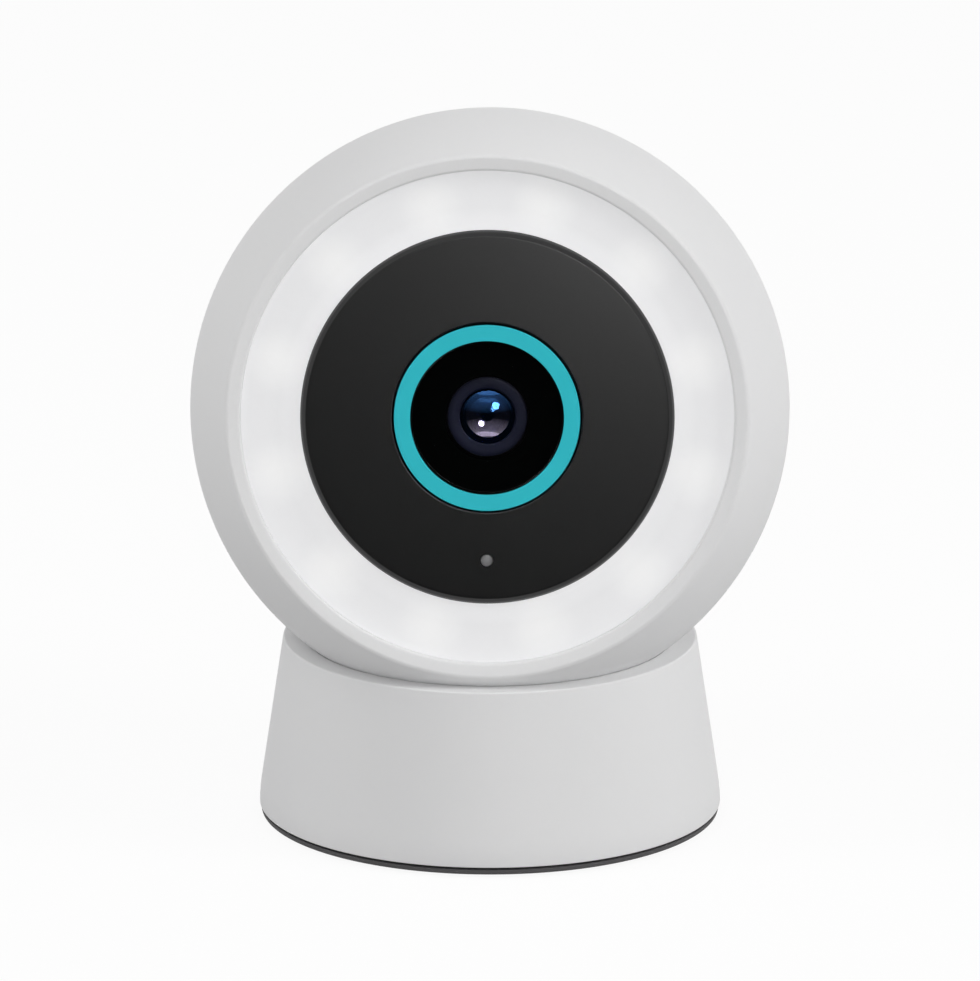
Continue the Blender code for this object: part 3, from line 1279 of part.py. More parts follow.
def leads():
    board = MAIN_BOARD_FRONT + GAP
    light = LED_BOARD_FRONT - BOARD_THICKNESS - GAP
    lead(
        "led_lead",
        [
            (0, -LED_LEAD_DROP, board),
            (0, -LED_LEAD_DROP - LED_LEAD_BOW, board + LED_LEAD_RISE),
            (0, -WIRE_HOLE_DROP, HEAT_SINK_BACK - LED_LEAD_APPROACH),
            (0, -WIRE_HOLE_DROP, light),
        ],
    )
    behind = MAIN_BOARD_BACK - GAP
    drop = math.radians(SPEAKER_DROP)
    speaker_back = SPEAKER_FRONT - SPEAKER_DEPTH - 2 * GAP
    terminal = -speaker_back * math.sin(drop) - SPEAKER_LEAD_SIDE
    lead(
        "speaker_lead",
        [
            (0, -SPEAKER_LEAD_DROP, behind),
            (0, -SPEAKER_LEAD_DROP, behind - SPEAKER_LEAD_RUN),
            (0, terminal, SPEAKER_LEAD_APPROACH - speaker_back),
            (0, terminal, -speaker_back * math.cos(drop)),
        ],
    )
    rise = math.radians(PORT_RISE)
    along = PORT_BOARD_TOP - PORT_BOARD_DEPTH - 2 * GAP
    across = PORT_BOARD_SIDE + PORT_BOARD_THICKNESS / 2
    end_rise = along * math.sin(rise) - across * math.cos(rise)
    end_depth = -along * math.cos(rise) - across * math.sin(rise)
    lead(
        "port_lead",
        [
            (0, end_rise, end_depth),
            (0, end_rise - PORT_LEAD_BOW, end_depth + PORT_LEAD_RUN),
            (0, end_rise - PORT_LEAD_SAG, behind - PORT_LEAD_APPROACH),
            (0, end_rise - PORT_LEAD_SAG, behind),
        ],
    )


def settle():
    """Every part gets its finished mesh, shaded smooth between its sharp edges, and the helpers go."""
    graph = bpy.context.evaluated_depsgraph_get()
    solids = [part for part in PARTS.objects if part.type == "MESH"]
    meshes = [bpy.data.meshes.new_from_object(part.evaluated_get(graph)) for part in solids]
    for part, mesh in zip(solids, meshes):
        part.modifiers.clear()
        mesh.name = part.name
        mesh.materials.clear()
        mesh.materials.append(bpy.data.materials[part.name])
        part.data = mesh
        mesh.shade_smooth()
        mesh.set_sharp_from_angle(angle=math.radians(SHARP_ANGLE))
    for helper in list(HELPERS.objects):
        bpy.data.objects.remove(helper)


base_shell()
base_plate()
foot_pad()
base_screws()
pan_bush()
cradle_cup()
cradle_fittings()
wave_washer()
front_housing()
diffuser_ring()
face_cover()
status_light()
lens_window()
light_pipe()
lens()
lens_holder()
image_sensor()
led_board()
heat_sink()
chassis_screws()
rear_shell()
housing_screws()
housing_seal()
main_board()
wifi_antenna()
speaker()
keeper_plate("keeper_plate_front", KEEPER_FRONT_ANGLES)
keeper_plate("keeper_plate_rear", KEEPER_REAR_ANGLES)
power_socket()
card_socket()
port_board()
reset_switch()
reset_button()
leads()
settle()
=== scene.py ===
"""The looks of a floodlight security camera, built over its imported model.

Metres, +Z up. The lens looks towards -Y, and the origin is the middle of the foot's underside.
Outlines are in millimetres, as (radius, height) along the axis that a piece is turned about.
"""

import math

import bmesh
import bpy
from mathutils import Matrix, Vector


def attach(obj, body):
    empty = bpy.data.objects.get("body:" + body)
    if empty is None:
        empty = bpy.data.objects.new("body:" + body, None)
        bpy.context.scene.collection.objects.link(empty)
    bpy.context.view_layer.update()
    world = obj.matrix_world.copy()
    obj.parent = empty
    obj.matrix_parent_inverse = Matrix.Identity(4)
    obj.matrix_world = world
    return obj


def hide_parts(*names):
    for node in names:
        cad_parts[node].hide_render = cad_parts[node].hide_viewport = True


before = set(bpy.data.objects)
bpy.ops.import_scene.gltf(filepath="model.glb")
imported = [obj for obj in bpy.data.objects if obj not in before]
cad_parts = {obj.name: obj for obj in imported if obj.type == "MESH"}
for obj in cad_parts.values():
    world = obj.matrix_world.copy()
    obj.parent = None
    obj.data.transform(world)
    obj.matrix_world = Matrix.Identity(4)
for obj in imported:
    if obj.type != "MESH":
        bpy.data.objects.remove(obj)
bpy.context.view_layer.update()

# The foot is a soft rubber disc glued under the base plate, so that the base doesn't slide.
# It is moulded flat, with its floor edge bevelled and two windows for the keyholes above it.
MM = 0.001
FOOT_RADIUS = 37.85
FOOT_THICKNESS = 1.2
FOOT_LEAN = 0.15
FOOT_EDGE = 0.45
FOOT_BEVEL = 1.65
FOOT_WINDOW = (10.4, 15.6)
FOOT_WINDOW_PLACES = ((-18.0, -0.9), (18.0, -0.9))


def eased(corners, count=4):
    """The outline with its corners rounded. A corner's third number, where it has one, is its round."""
    points = []
    for i, corner in enumerate(corners):
        here = Vector(corner[:2])
        if len(corner) == 2:
            points.append(tuple(here))
            continue
        back = (Vector(corners[i - 1][:2]) - here).normalized()
        on = (Vector(corners[(i + 1) % len(corners)][:2]) - here).normalized()
        half = back.angle(on) / 2
        centre = here + (back + on).normalized() * corner[2] / math.sin(half)
        start = (here + back * corner[2] / math.tan(half) - centre).normalized()
        end = (here + on * corner[2] / math.tan(half) - centre).normalized()
        points += [tuple(centre + start.slerp(end, k / count) * corner[2]) for k in range(count + 1)]
    return points


def turned(name, outline, sides=160):
    """A piece turned about Z: one point is drawn out along the outline, then spun round."""
    if outline[0][0] > 0:
        outline = [*outline, outline[0]]
    bpy.ops.object.select_all(action="DESELECT")
    bpy.ops.mesh.primitive_plane_add(size=MM)
    piece = bpy.context.object
    piece.name = piece.data.name = name
    bpy.ops.object.mode_set(mode="EDIT")
    bpy.ops.mesh.select_all(action="SELECT")
    bpy.ops.mesh.merge(type="CENTER")
    last = (0, 0)
    for number, (radius, height) in enumerate(outline):
        step = ((radius - last[0]) * MM, 0, (height - last[1]) * MM)
        if number:
            bpy.ops.mesh.extrude_region_move(TRANSFORM_OT_translate={"value": step})
        else:
            bpy.ops.transform.translate(value=step)
        last = (radius, height)
    bpy.ops.mesh.select_all(action="SELECT")
    bpy.ops.mesh.spin(steps=sides, angle=math.tau, center=(0, 0, 0), axis=(0, 0, 1))
    bpy.ops.mesh.select_all(action="SELECT")
    bpy.ops.mesh.remove_doubles(threshold=0.002 * MM)
    bpy.ops.mesh.normals_make_consistent(inside=False)
    bpy.ops.object.mode_set(mode="OBJECT")
    return piece


def slot_outline(length, width, round_end, out=0.0, along=14, turn=12):
    """Points round a rectangle with round ends or corners, each moved out square to the edge."""
    x, y, r = length / 2 - round_end, width / 2 - round_end, round_end + out
    points = []
    for cx, cy, start in ((x, y, 0), (-x, y, 90), (-x, -y, 180), (x, -y, 270)):
        for k in range(turn + 1):
            a = math.radians(start + 90 * k / turn)
            points.append((cx + r * math.cos(a), cy + r * math.sin(a)))
    points = [point for i, point in enumerate(points) if math.dist(point, points[i - 1]) > 1e-6]
    whole = []
    for a, b in zip(points, points[1:] + points[:1]):
        whole.append(a)
        parts = along if math.dist(a, b) > min(length, width) else 1
        for k in range(1, parts):
            whole.append((a[0] + (b[0] - a[0]) * k / parts, a[1] + (b[1] - a[1]) * k / parts))
    return whole


def lofted(name, rows):
    """A closed shape skinned over rows of points, in millimetres, with its two ends filled."""
    shape = bmesh.new()
    rings = [[shape.verts.new(Vector(point) * MM) for point in row] for row in rows]
    for lower, upper in zip(rings, rings[1:]):
        for i in range(len(lower)):
            j = (i + 1) % len(lower)
            shape.faces.new((lower[i], lower[j], upper[j], upper[i]))
    shape.faces.new(rings[0])
    shape.faces.new(rings[-1])
    bmesh.ops.recalc_face_normals(shape, faces=shape.faces)
    mesh = bpy.data.meshes.new(name)
    shape.to_mesh(mesh)
    shape.free()
    piece = bpy.data.objects.new(name, mesh)
    bpy.context.scene.collection.objects.link(piece)
    return piece


def shape_with(piece, tool, operation="DIFFERENCE"):
    """Cuts the tool out of the piece, or joins it on. The tool is used up."""
    bpy.ops.object.select_all(action="DESELECT")
    piece.select_set(True)
    bpy.context.view_layer.objects.active = piece
    step = piece.modifiers.new(operation.lower(), "BOOLEAN")
    step.operation = operation
    step.object = tool
    bpy.ops.object.modifier_apply(modifier=step.name)
    bpy.data.objects.remove(tool)


def srgb(code):
    """A hex colour as the linear colour that a socket takes."""
    shares = [int(code[i : i + 2], 16) / 255 for i in (1, 3, 5)]
    return (*(((s + 0.055) / 1.055) ** 2.4 if s > 0.04045 else s / 12.92 for s in shares), 1.0)


def add_node(tree, kind, inputs=None, **settings):
    """A node with its settings, and its inputs set to values or linked to other nodes' outputs."""
    node = tree.nodes.new(kind)
    for name, value in settings.items():
        setattr(node, name, value)
    for name, value in (inputs or {}).items():
        if isinstance(value, bpy.types.NodeSocket):
            tree.links.new(value, node.inputs[name])
        else:
            node.inputs[name].default_value = value
    return node


def surface(name, values):
    """A new material of this name, with these values on its shader's own sockets."""
    material = bpy.data.materials.new(name)
    material.use_nodes = True
    shader = material.node_tree.nodes["Principled BSDF"]
    for socket, value in values.items():
        shader.inputs[socket].default_value = value
    return material, material.node_tree, shader


def grained(name, values, grain, colours, dull=None, relief=None, flow=None):
    """A material of two close colours, whose dullness and relief follow a fine grain.

    The grain is the size of a noise in millimetres and its detail. A flow is a second noise, for the colours.
    """
    material, tree, shader = surface(name, values)
    place = add_node(tree, "ShaderNodeTexCoord").outputs["Object"]
    noise = {"Vector": place, "Scale": 1 / (grain[0] * MM), "Detail": grain[1]}
    fine = broad = add_node(tree, "ShaderNodeTexNoise", noise).outputs[0]
    if flow:
        noise = {"Vector": place, "Scale": 1 / (flow[0] * MM), "Detail": flow[1]}
        broad = add_node(tree, "ShaderNodeTexNoise", noise).outputs[0]
    tones = {"Factor": broad, 6: srgb(colours[0]), 7: srgb(colours[1])}
    tone = add_node(tree, "ShaderNodeMix", tones, data_type="RGBA")
    tree.links.new(tone.outputs[2], shader.inputs["Base Color"])
    if dull:
        sheen = add_node(tree, "ShaderNodeMapRange", {"Value": fine, "To Min": dull[0], "To Max": dull[1]})
        tree.links.new(sheen.outputs[0], shader.inputs["Roughness"])
    if relief:
        bumps = {"Strength": relief[0], "Distance": relief[1] * MM, "Height": fine}
        skin = add_node(tree, "ShaderNodeBump", bumps)
        tree.links.new(skin.outputs[0], shader.inputs["Normal"])
    return material


def wear(piece, material, body, slot, *nodes, angle=32):
    """Gives a finished piece its material, its body and the nodes that it stands for. Its slot is not used.
    """
    bpy.ops.object.select_all(action="DESELECT")
    piece.select_set(True)
    bpy.context.view_layer.objects.active = piece
    bpy.ops.object.shade_smooth_by_angle(angle=math.radians(angle))
    flats = piece.modifiers.new("flats", "WEIGHTED_NORMAL")
    flats.keep_sharp = True
    bpy.ops.object.modifier_apply(modifier=flats.name)
    piece.data.materials.clear()
    piece.data.materials.append(material)
    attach(piece, body)
    if nodes:
        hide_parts(*nodes)


# Rubber, moulded in a blasted tool: dark grey and blotched, dull, with a fine pitted skin.
# The pits are about 0.15 mm across, drawn at 0.4 mm so that they show, over blotches of 9 mm.
foot_rubber = grained(
    "moulded_rubber",
    {"IOR": 1.5},
    grain=(0.4, 3.0),
    colours=("#545354", "#5E5D5E"),
    dull=(0.72, 0.9),
    relief=(0.5, 0.04),
    flow=(9, 2.0),
)

foot_outline = [
    (0, FOOT_THICKNESS),
    (FOOT_RADIUS, FOOT_THICKNESS, 0.1),
    (FOOT_RADIUS - FOOT_LEAN, FOOT_EDGE, 0.25),
    (FOOT_RADIUS - FOOT_BEVEL, 0, 0.15),
    (0, 0),
]
foot = turned("foot", eased(foot_outline))
for x, y in FOOT_WINDOW_PLACES:
    outline = slot_outline(*FOOT_WINDOW, FOOT_WINDOW[0] / 2, along=2)
    rows = [[(x + px, y + py, height) for px, py in outline] for height in (-3, 4)]
    shape_with(foot, lofted("foot_window", rows))
wear(foot, foot_rubber, "base", "foot_rubber", "foot_pad")

# The base plate closes the base from below. It is moulded in black ABS, with keyholes for wall
# screws and a boss that carries the bush, and three screws hold it to posts in the shell.
# Black ABS, moulded: near black, half dull, with a faint spark-eroded grain drawn at 0.5 mm.
black_abs = grained(
    "moulded_black_abs",
    {"IOR": 1.53},
    grain=(0.5, 2.0),
    colours=("#1B1B1C", "#222223"),
    dull=(0.42, 0.56),
    relief=(0.25, 0.02),
)


def recoat(material, *names):
    """Gives CAD nodes that keep their shape a finished material."""
    for name in names:
        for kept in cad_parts[name].material_slots:
            kept.material = material


recoat(black_abs, "base_plate")

# The base shell is one white moulding: a cone that narrows upwards, a rounded lip, and the fixed
# rim of the cup that the ball sits in. Its side turns upright just above the rubber.
BASE_BOTTOM = 1.65
BASE_RADIUS = 38.3
BASE_WALL = 2.4
BEND = 3.7
LIP_RADIUS = 34.0
LIP_TOP = 30.0
LIP_STEP = 1.2
BALL_CENTRE = 68.6
CUP_RADIUS = 49.07
CUP_INNER = 22.4
WEB_BOTTOM = 22.06
lip_edge = math.sqrt(CUP_RADIUS**2 - (BALL_CENTRE - LIP_TOP) ** 2)


def ball_arc(radius, start, end, count, centre=0.0):
    """Points on a ball's outline, from one angle to another in degrees from the top."""
    angles = [math.radians(start + (end - start) * k / count) for k in range(count + 1)]
    return [(radius * math.sin(a), centre + radius * math.cos(a)) for a in angles]


# White ABS, moulded with a fine matt texture: a clean neutral white that shades softly, with a
# broad dull sheen and faint flow marks of 30 mm. The texture is 0.2 mm, drawn at 0.45 mm to show.
white_abs = grained(
    "moulded_white_abs",
    {"IOR": 1.53},
    grain=(0.45, 3.0),
    colours=("#E9E9EA", "#ECECEC"),
    dull=(0.52, 0.64),
    relief=(0.12, 0.02),
    flow=(30, 1.0),
)

cup = ball_arc(
    CUP_RADIUS,
    180 - math.degrees(math.asin(CUP_INNER / CUP_RADIUS)),
    180 - math.degrees(math.asin((lip_edge - LIP_STEP) / CUP_RADIUS)),
    12,
    BALL_CENTRE,
)
lean = (BASE_RADIUS - LIP_RADIUS) / (LIP_TOP - BASE_BOTTOM)
bend = []
for k in range(9):
    share = k / 8
    out = LIP_RADIUS + lean * (LIP_TOP - BASE_BOTTOM - BEND + BEND * (share - share**2 / 2))
    bend.append((out, BASE_BOTTOM + BEND * (1 - share)))
web_radius = BASE_RADIUS - lean * (WEB_BOTTOM - BASE_BOTTOM) - BASE_WALL
base_outline = [
    (lip_edge, LIP_TOP, 0.1),
    (LIP_RADIUS, LIP_TOP, 0.35),
    *bend[:-1],
    (*bend[-1], 0.12),
    (BASE_RADIUS - BASE_WALL, BASE_BOTTOM, 0.2),
    (web_radius, WEB_BOTTOM, 0.8),
    (CUP_INNER, WEB_BOTTOM, 0.2),
    *cup,
]
base = turned("base", eased(base_outline, count=7), sides=192)
wear(base, white_abs, "base", "white_shell", "base_shell")

# Three countersunk screws hold the plate, and a flanged bush in its boss carries the spindle.
# The screws are zinc-plated steel, and the bush is pressed from sintered bronze.
# Zinc plate: bright bluish grey, with a fine uneven grain from the plating drawn at 0.3 mm.
zinc_steel = grained(
    "zinc_plated_steel",
    {"Metallic": 1.0},
    grain=(0.3, 4.0),
    colours=("#A9ADB2", "#C6C9CC"),
    dull=(0.24, 0.42),
)
recoat(zinc_steel, "base_screw_1", "base_screw_2", "base_screw_3")

# Sintered bronze: warm brown metal, dull and speckled with pores of about 0.2 mm, drawn at 0.4 mm.
bronze = grained(
    "sintered_bronze",
    {"Metallic": 1.0},
    grain=(0.4, 3.0),
    colours=("#7C5A30", "#B08850"),
    dull=(0.35, 0.6),
)
recoat(bronze, "pan_bush")

# The swivel cup turns in the base on its spindle. It is black ABS, with a ring magnet and a steel
# yoke under its dish, a rubber seat ring that grips the ball, and a screw and spring washer below.
recoat(black_abs, "cradle_cup")
recoat(zinc_steel, "pan_screw", "wave_washer", "magnet_yoke")

# Silicone rubber, moulded: soft dark grey, dull, with a fine bloom drawn at 0.5 mm.
soft_rubber = grained(
    "silicone_rubber",
    {"IOR": 1.42},
    grain=(0.5, 2.0),
    colours=("#2A2A2B", "#363637"),
    dull=(0.6, 0.8),
)
recoat(soft_rubber, "seat_ring", "housing_seal")

# Nickel plate on a sintered magnet: smooth, warm grey and bright, with soft blotches of 2 mm.
nickel = grained(
    "nickel_plated_magnet",
    {"Metallic": 1.0},
    grain=(2, 2.0),
    colours=("#B4AFA8", "#CBC7C0"),
    dull=(0.18, 0.3),
)
recoat(nickel, "cradle_magnet")

# The front housing is the front half of the ball, moulded in the same white as the base. A bevelled
# bezel runs round its opening, and its back edge meets the rear shell in a fine seam.
BALL_RADIUS = 49.0
BALL_INNER = 46.8
REST_TILT = 11.0
RIM_RADIUS = 42.2
RIM_FRONT = 24.903
OPENING_RADIUS = 39.8
BEZEL_FRONT = 24.6
BEZEL_BACK = 21.703
SEAM = -5.0
SEAM_ROUND = 0.25
SEAM_BLEND = 0.8
RIM_BLEND = 2.2
FLANGE_WIDTH = 3.7
FLANGE_DEPTH = 3.0
INNER_END = 62.37


def set_in_ball(piece, turn=0.0):
    """Lays a piece made along +Z on the lens axis, or turned from it, through the ball's centre."""
    bpy.ops.object.select_all(action="DESELECT")
    piece.select_set(True)
    bpy.context.view_layer.objects.active = piece
    piece.rotation_euler = (math.radians(90 - REST_TILT + turn), 0, 0)
    piece.location = (0, 0, BALL_CENTRE * MM)
    bpy.ops.object.transform_apply(location=True, rotation=True, scale=True)


rim_angle = math.degrees(math.asin(RIM_RADIUS / BALL_RADIUS))
seam_angle = math.degrees(math.acos(SEAM / BALL_RADIUS))
flange_inner = math.sqrt(BALL_RADIUS**2 - SEAM**2) - FLANGE_WIDTH
flange_angle = math.degrees(math.acos((SEAM + FLANGE_DEPTH) / BALL_INNER))
front_outline = [
    (OPENING_RADIUS, BEZEL_FRONT, 0.5),
    (RIM_RADIUS, RIM_FRONT, 0.8),
    *ball_arc(BALL_RADIUS, rim_angle + RIM_BLEND, seam_angle - SEAM_BLEND, 34),
    (*ball_arc(BALL_RADIUS, seam_angle, seam_angle, 1)[0], SEAM_ROUND),
    (flange_inner, SEAM),
    (flange_inner, SEAM + FLANGE_DEPTH),
    *ball_arc(BALL_INNER, flange_angle, INNER_END, 16),
    (OPENING_RADIUS, BEZEL_BACK),
]
front = turned("front_half", eased(front_outline, count=6), sides=224)
set_in_ball(front)
wear(front, white_abs, "head", "white_shell", "front_housing")

# The diffuser is a flat frosted ring that spreads the light of twelve LEDs. It is moulded in opal
# polycarbonate, and its flange is held under the bezel.
DIFFUSER_INNER = 28.8
DIFFUSER_FRONT = 22.783
DIFFUSER_BACK = 19.703
DIFFUSER_GAP = 0.03
DIFFUSER_FLANGE = 0.9
BEZEL_GAP = 0.3
LED_CIRCLE = 35.0
LED_COUNT = 12
LED_SPOT = 6.5
# Painted light: the span, in mm from the lens axis, over which the diffuser's glow rises to fill the face's
# shadow.
FACE_FILL_SPAN = (30.2, 33.8)


def on_lens_axis(tree):
    """A piece's own place, turned so that Z runs along the lens axis from the ball's centre."""
    place = add_node(tree, "ShaderNodeTexCoord").outputs["Object"]
    turn = {"Location": (0, 0, BALL_CENTRE * MM), "Rotation": (math.radians(90 - REST_TILT), 0, 0)}
    return add_node(tree, "ShaderNodeMapping", {"Vector": place, **turn}, vector_type="TEXTURE").outputs[0]


# Opal polycarbonate: milky, with a soft brighter spot of about 7 mm over each LED. Its glow is painted
# light that keeps it even and a little brighter than the shell. The glow is stronger along the face, where it
# fills the face's shadow. Its frost is drawn at 0.5 mm.
opal, tree, shader = surface("opal_polycarbonate", {"IOR": 1.58, "Roughness": 0.5})
axes = add_node(tree, "ShaderNodeSeparateXYZ", {0: on_lens_axis(tree)})
across, up = axes.outputs[0], axes.outputs[1]
flat = add_node(tree, "ShaderNodeCombineXYZ", {0: across, 1: up})
radius = add_node(tree, "ShaderNodeVectorMath", {0: flat.outputs[0]}, operation="LENGTH").outputs["Value"]
angle = add_node(tree, "ShaderNodeMath", {0: up, 1: across}, operation="ARCTAN2")
per_turn = LED_COUNT / math.tau
turns = add_node(tree, "ShaderNodeMath", {0: angle.outputs[0], 1: per_turn}, operation="MULTIPLY")
share = add_node(tree, "ShaderNodeMath", {0: turns.outputs[0]}, operation="FRACT")
aside = add_node(tree, "ShaderNodeMath", {0: share.outputs[0], 1: 0.5}, operation="SUBTRACT")
led_step = LED_CIRCLE * MM * math.tau / LED_COUNT
sideways = add_node(tree, "ShaderNodeMath", {0: aside.outputs[0], 1: led_step}, operation="MULTIPLY")
outward = add_node(tree, "ShaderNodeMath", {0: radius, 1: LED_CIRCLE * MM}, operation="SUBTRACT")
offset = add_node(tree, "ShaderNodeCombineXYZ", {0: sideways.outputs[0], 1: outward.outputs[0]})
distance = add_node(tree, "ShaderNodeVectorMath", {0: offset.outputs[0]}, operation="LENGTH").outputs["Value"]
glow = add_node(
    tree,
    "ShaderNodeMapRange",
    {"Value": distance, "From Min": 0.0, "From Max": LED_SPOT * MM, "To Min": 1.0, "To Max": 0.0},
    interpolation_type="SMOOTHSTEP",
)
# Painted light: the whole ring glows, which evens its shading. The glow rises from 0.68 at 33.8 mm to 0.83 at
# the face's edge, filling the face's shadow on the diffuser.
edge = {"From Min": FACE_FILL_SPAN[0] * MM, "From Max": FACE_FILL_SPAN[1] * MM}
painted_face_fill = add_node(tree, "ShaderNodeMapRange", {"Value": radius, **edge, "To Min": 0.83, "To Max": 0.68})
tones = {"Factor": glow.outputs[0], 6: srgb("#C0C0C1"), 7: srgb("#C9C9C9")}
milk = add_node(tree, "ShaderNodeMix", tones, data_type="RGBA")
place = add_node(tree, "ShaderNodeTexCoord").outputs["Object"]
frost = add_node(tree, "ShaderNodeTexNoise", {"Vector": place, "Scale": 1 / (0.5 * MM), "Detail": 2.0})
skin = add_node(tree, "ShaderNodeBump", {"Strength": 0.08, "Distance": 0.02 * MM, "Height": frost.outputs[0]})
tree.links.new(milk.outputs[2], shader.inputs["Base Color"])
tree.links.new(milk.outputs[2], shader.inputs["Emission Color"])
tree.links.new(painted_face_fill.outputs[0], shader.inputs["Emission Strength"])
tree.links.new(skin.outputs[0], shader.inputs["Normal"])

diffuser_outline = [
    (DIFFUSER_INNER, DIFFUSER_FRONT),
    (OPENING_RADIUS - DIFFUSER_GAP, DIFFUSER_FRONT, 0.03),
    (OPENING_RADIUS - DIFFUSER_GAP, BEZEL_BACK - BEZEL_GAP),
    (OPENING_RADIUS + DIFFUSER_FLANGE, BEZEL_BACK - BEZEL_GAP, 0.1),
    (OPENING_RADIUS + DIFFUSER_FLANGE, DIFFUSER_BACK, 0.1),
    (DIFFUSER_INNER, DIFFUSER_BACK),
]
diffuser = turned("diffuser", eased(diffuser_outline), sides=192)
set_in_ball(diffuser)
wear(diffuser, opal, "head", "diffuser", "diffuser_ring")

# The face is a low black dome inside the diffuser, and its edge slopes away in two steps. It is
# moulded, with a tube and a skirt that reach back, and a small hole for the light sensor's pipe.
FACE_RADIUS = 30.2
FACE_BACK = 22.803
FACE_EDGE = 1.6
FACE_CROWN = 1.2
FACE_BORE = 15.3
FACE_WALL = 1.8
FACE_SLOPE = 0.95
FACE_STEP = (0.3, 0.85)
TUBE_BACK = 18.207
SKIRT_OUTER = 28.5
SKIRT_INNER = 26.9
SKIRT_BACK = 11.703
SENSOR_DROP = 23.1
SENSOR_HOLE = 1.1
HOLE_BACK = 14.0


def face_height(radius):
    """Height of the domed face along the lens axis, at this distance from it."""
    return FACE_BACK + FACE_EDGE + FACE_CROWN * (1 - (radius / FACE_RADIUS) ** 2)


def moved(piece, x=0.0, y=0.0, z=0.0):
    """Moves a piece's mesh, in millimetres, and leaves its object at the origin."""
    bpy.ops.object.select_all(action="DESELECT")
    piece.select_set(True)
    bpy.context.view_layer.objects.active = piece
    piece.location = (x * MM, y * MM, z * MM)
    bpy.ops.object.transform_apply(location=True)
    return piece


# Satin black PC/ABS: deep black with a broad soft sheen that brightens towards the lamps. Its
# fine moulded grain is drawn at 0.4 mm.
satin_black = grained(
    "satin_black_abs",
    {"IOR": 1.44},
    grain=(0.4, 2.0),
    colours=("#0E0E0E", "#121212"),
    dull=(0.36, 0.41),
    relief=(0.06, 0.02),
)

dome = [FACE_BORE + 0.35 + (FACE_RADIUS - 2.4 - FACE_BORE) * k / 12 for k in range(13)]
face_outline = [
    (FACE_BORE, face_height(FACE_BORE), 0.2),
    *((r, face_height(r)) for r in dome),
    (FACE_RADIUS - FACE_SLOPE, face_height(FACE_RADIUS - FACE_SLOPE), 0.35),
    (FACE_RADIUS - FACE_STEP[0], FACE_BACK + FACE_STEP[1], 1.6),
    (FACE_RADIUS, FACE_BACK + 0.1, 0.1),
    (FACE_RADIUS, FACE_BACK),
    (SKIRT_OUTER, FACE_BACK),
    (SKIRT_OUTER, SKIRT_BACK),
    (SKIRT_INNER, SKIRT_BACK),
    (SKIRT_INNER, face_height(SKIRT_INNER) - FACE_WALL),
    (FACE_BORE + FACE_WALL, face_height(FACE_BORE + FACE_WALL) - FACE_WALL),
    (FACE_BORE + FACE_WALL, TUBE_BACK),
    (FACE_BORE, TUBE_BACK),
]
face = turned("face", eased(face_outline, count=7), sides=192)
hole_front = face_height(SENSOR_DROP)
hole_outline = [
    (0, HOLE_BACK),
    (SENSOR_HOLE, HOLE_BACK),
    (SENSOR_HOLE, hole_front - 0.06),
    (SENSOR_HOLE + 0.05, hole_front),
    (SENSOR_HOLE + 0.5, hole_front + 0.5),
    (0, hole_front + 0.5),
]
hole = turned("sensor_hole", hole_outline, sides=40)
shape_with(face, moved(hole, y=-SENSOR_DROP))
set_in_ball(face)
wear(face, satin_black, "head", "black_face", "face_cover")

# The light pipe is a short rod with a domed end, pressed into the face. It lets the light
# sensor see out, and is moulded in grey-tinted acrylic.
PIPE_RADIUS = 1.0
PIPE_LENGTH = 6.0
PIPE_SINK = 0.3
pipe_front = face_height(SENSOR_DROP) - PIPE_SINK
pipe_back = pipe_front - PIPE_LENGTH
pipe_dome = [(r, pipe_front - 0.22 * r * r) for r in (0, 0.25, 0.5, 0.75, 0.95)]
pipe = turned(
    "sensor_pipe",
    [*pipe_dome, (PIPE_RADIUS, pipe_front - 0.35), (PIPE_RADIUS, pipe_back), (0, pipe_back)],
    sides=40,
)
set_in_ball(moved(pipe, y=-SENSOR_DROP))

# Tinted acrylic over a dark sensor: mid grey and half glossy, with faint clouds of 0.6 mm.
grey_acrylic = grained(
    "grey_acrylic",
    {"IOR": 1.49, "Roughness": 0.4},
    grain=(0.6, 1.0),
    colours=("#7A7A7B", "#8C8C8D"),
)
wear(pipe, grey_acrylic, "head", "sensor_window", "light_pipe")

# The status light is a teal ring round the lens window. It is a moulded acrylic light guide, lit
# from behind by a small round board, and its inner ledge carries the window.
STATUS_OUTER = 15.0
STATUS_INNER = 12.4
STATUS_FRONT = 25.307
STATUS_BACK = 19.907
LEDGE_INNER = 11.2
WINDOW_FRONT = 25.007
WINDOW_BACK = 23.207
GLUE = 0.3
BARE_EDGE = 0.1

# Tinted acrylic that glows: an even flat teal with faint clouds of 5 mm. Its sides are near black up to
# 0.1 mm from the front: painted shade that darkens the groove round the ring, and the glow leaves only at the
#                        front.
teal_values = {"IOR": 1.49, "Roughness": 0.45, "Emission Strength": 0.3}
teal_acrylic, tree, shader = surface("teal_acrylic", teal_values)
place = add_node(tree, "ShaderNodeTexCoord").outputs["Object"]
cloud = add_node(tree, "ShaderNodeTexNoise", {"Vector": place, "Scale": 1 / (5 * MM), "Detail": 1.0})
tones = {"Factor": cloud.outputs[0], 6: srgb("#12A3AF"), 7: srgb("#18A8B3")}
teal = add_node(tree, "ShaderNodeMix", tones, data_type="RGBA")
axes = add_node(tree, "ShaderNodeSeparateXYZ", {0: on_lens_axis(tree)})
# Painted shade: below 0.1 mm from the front the ring's sides are near black, which darkens the groove round
# it.
groove_shade_end = (STATUS_FRONT - BARE_EDGE) * MM
bare = add_node(tree, "ShaderNodeMath", {0: axes.outputs[2], 1: groove_shade_end}, operation="GREATER_THAN")
tones = {"Factor": bare.outputs[0], 6: srgb("#050606"), 7: teal.outputs[2]}
tone = add_node(tree, "ShaderNodeMix", tones, data_type="RGBA")
tree.links.new(tone.outputs[2], shader.inputs["Base Color"])
tree.links.new(tone.outputs[2], shader.inputs["Emission Color"])

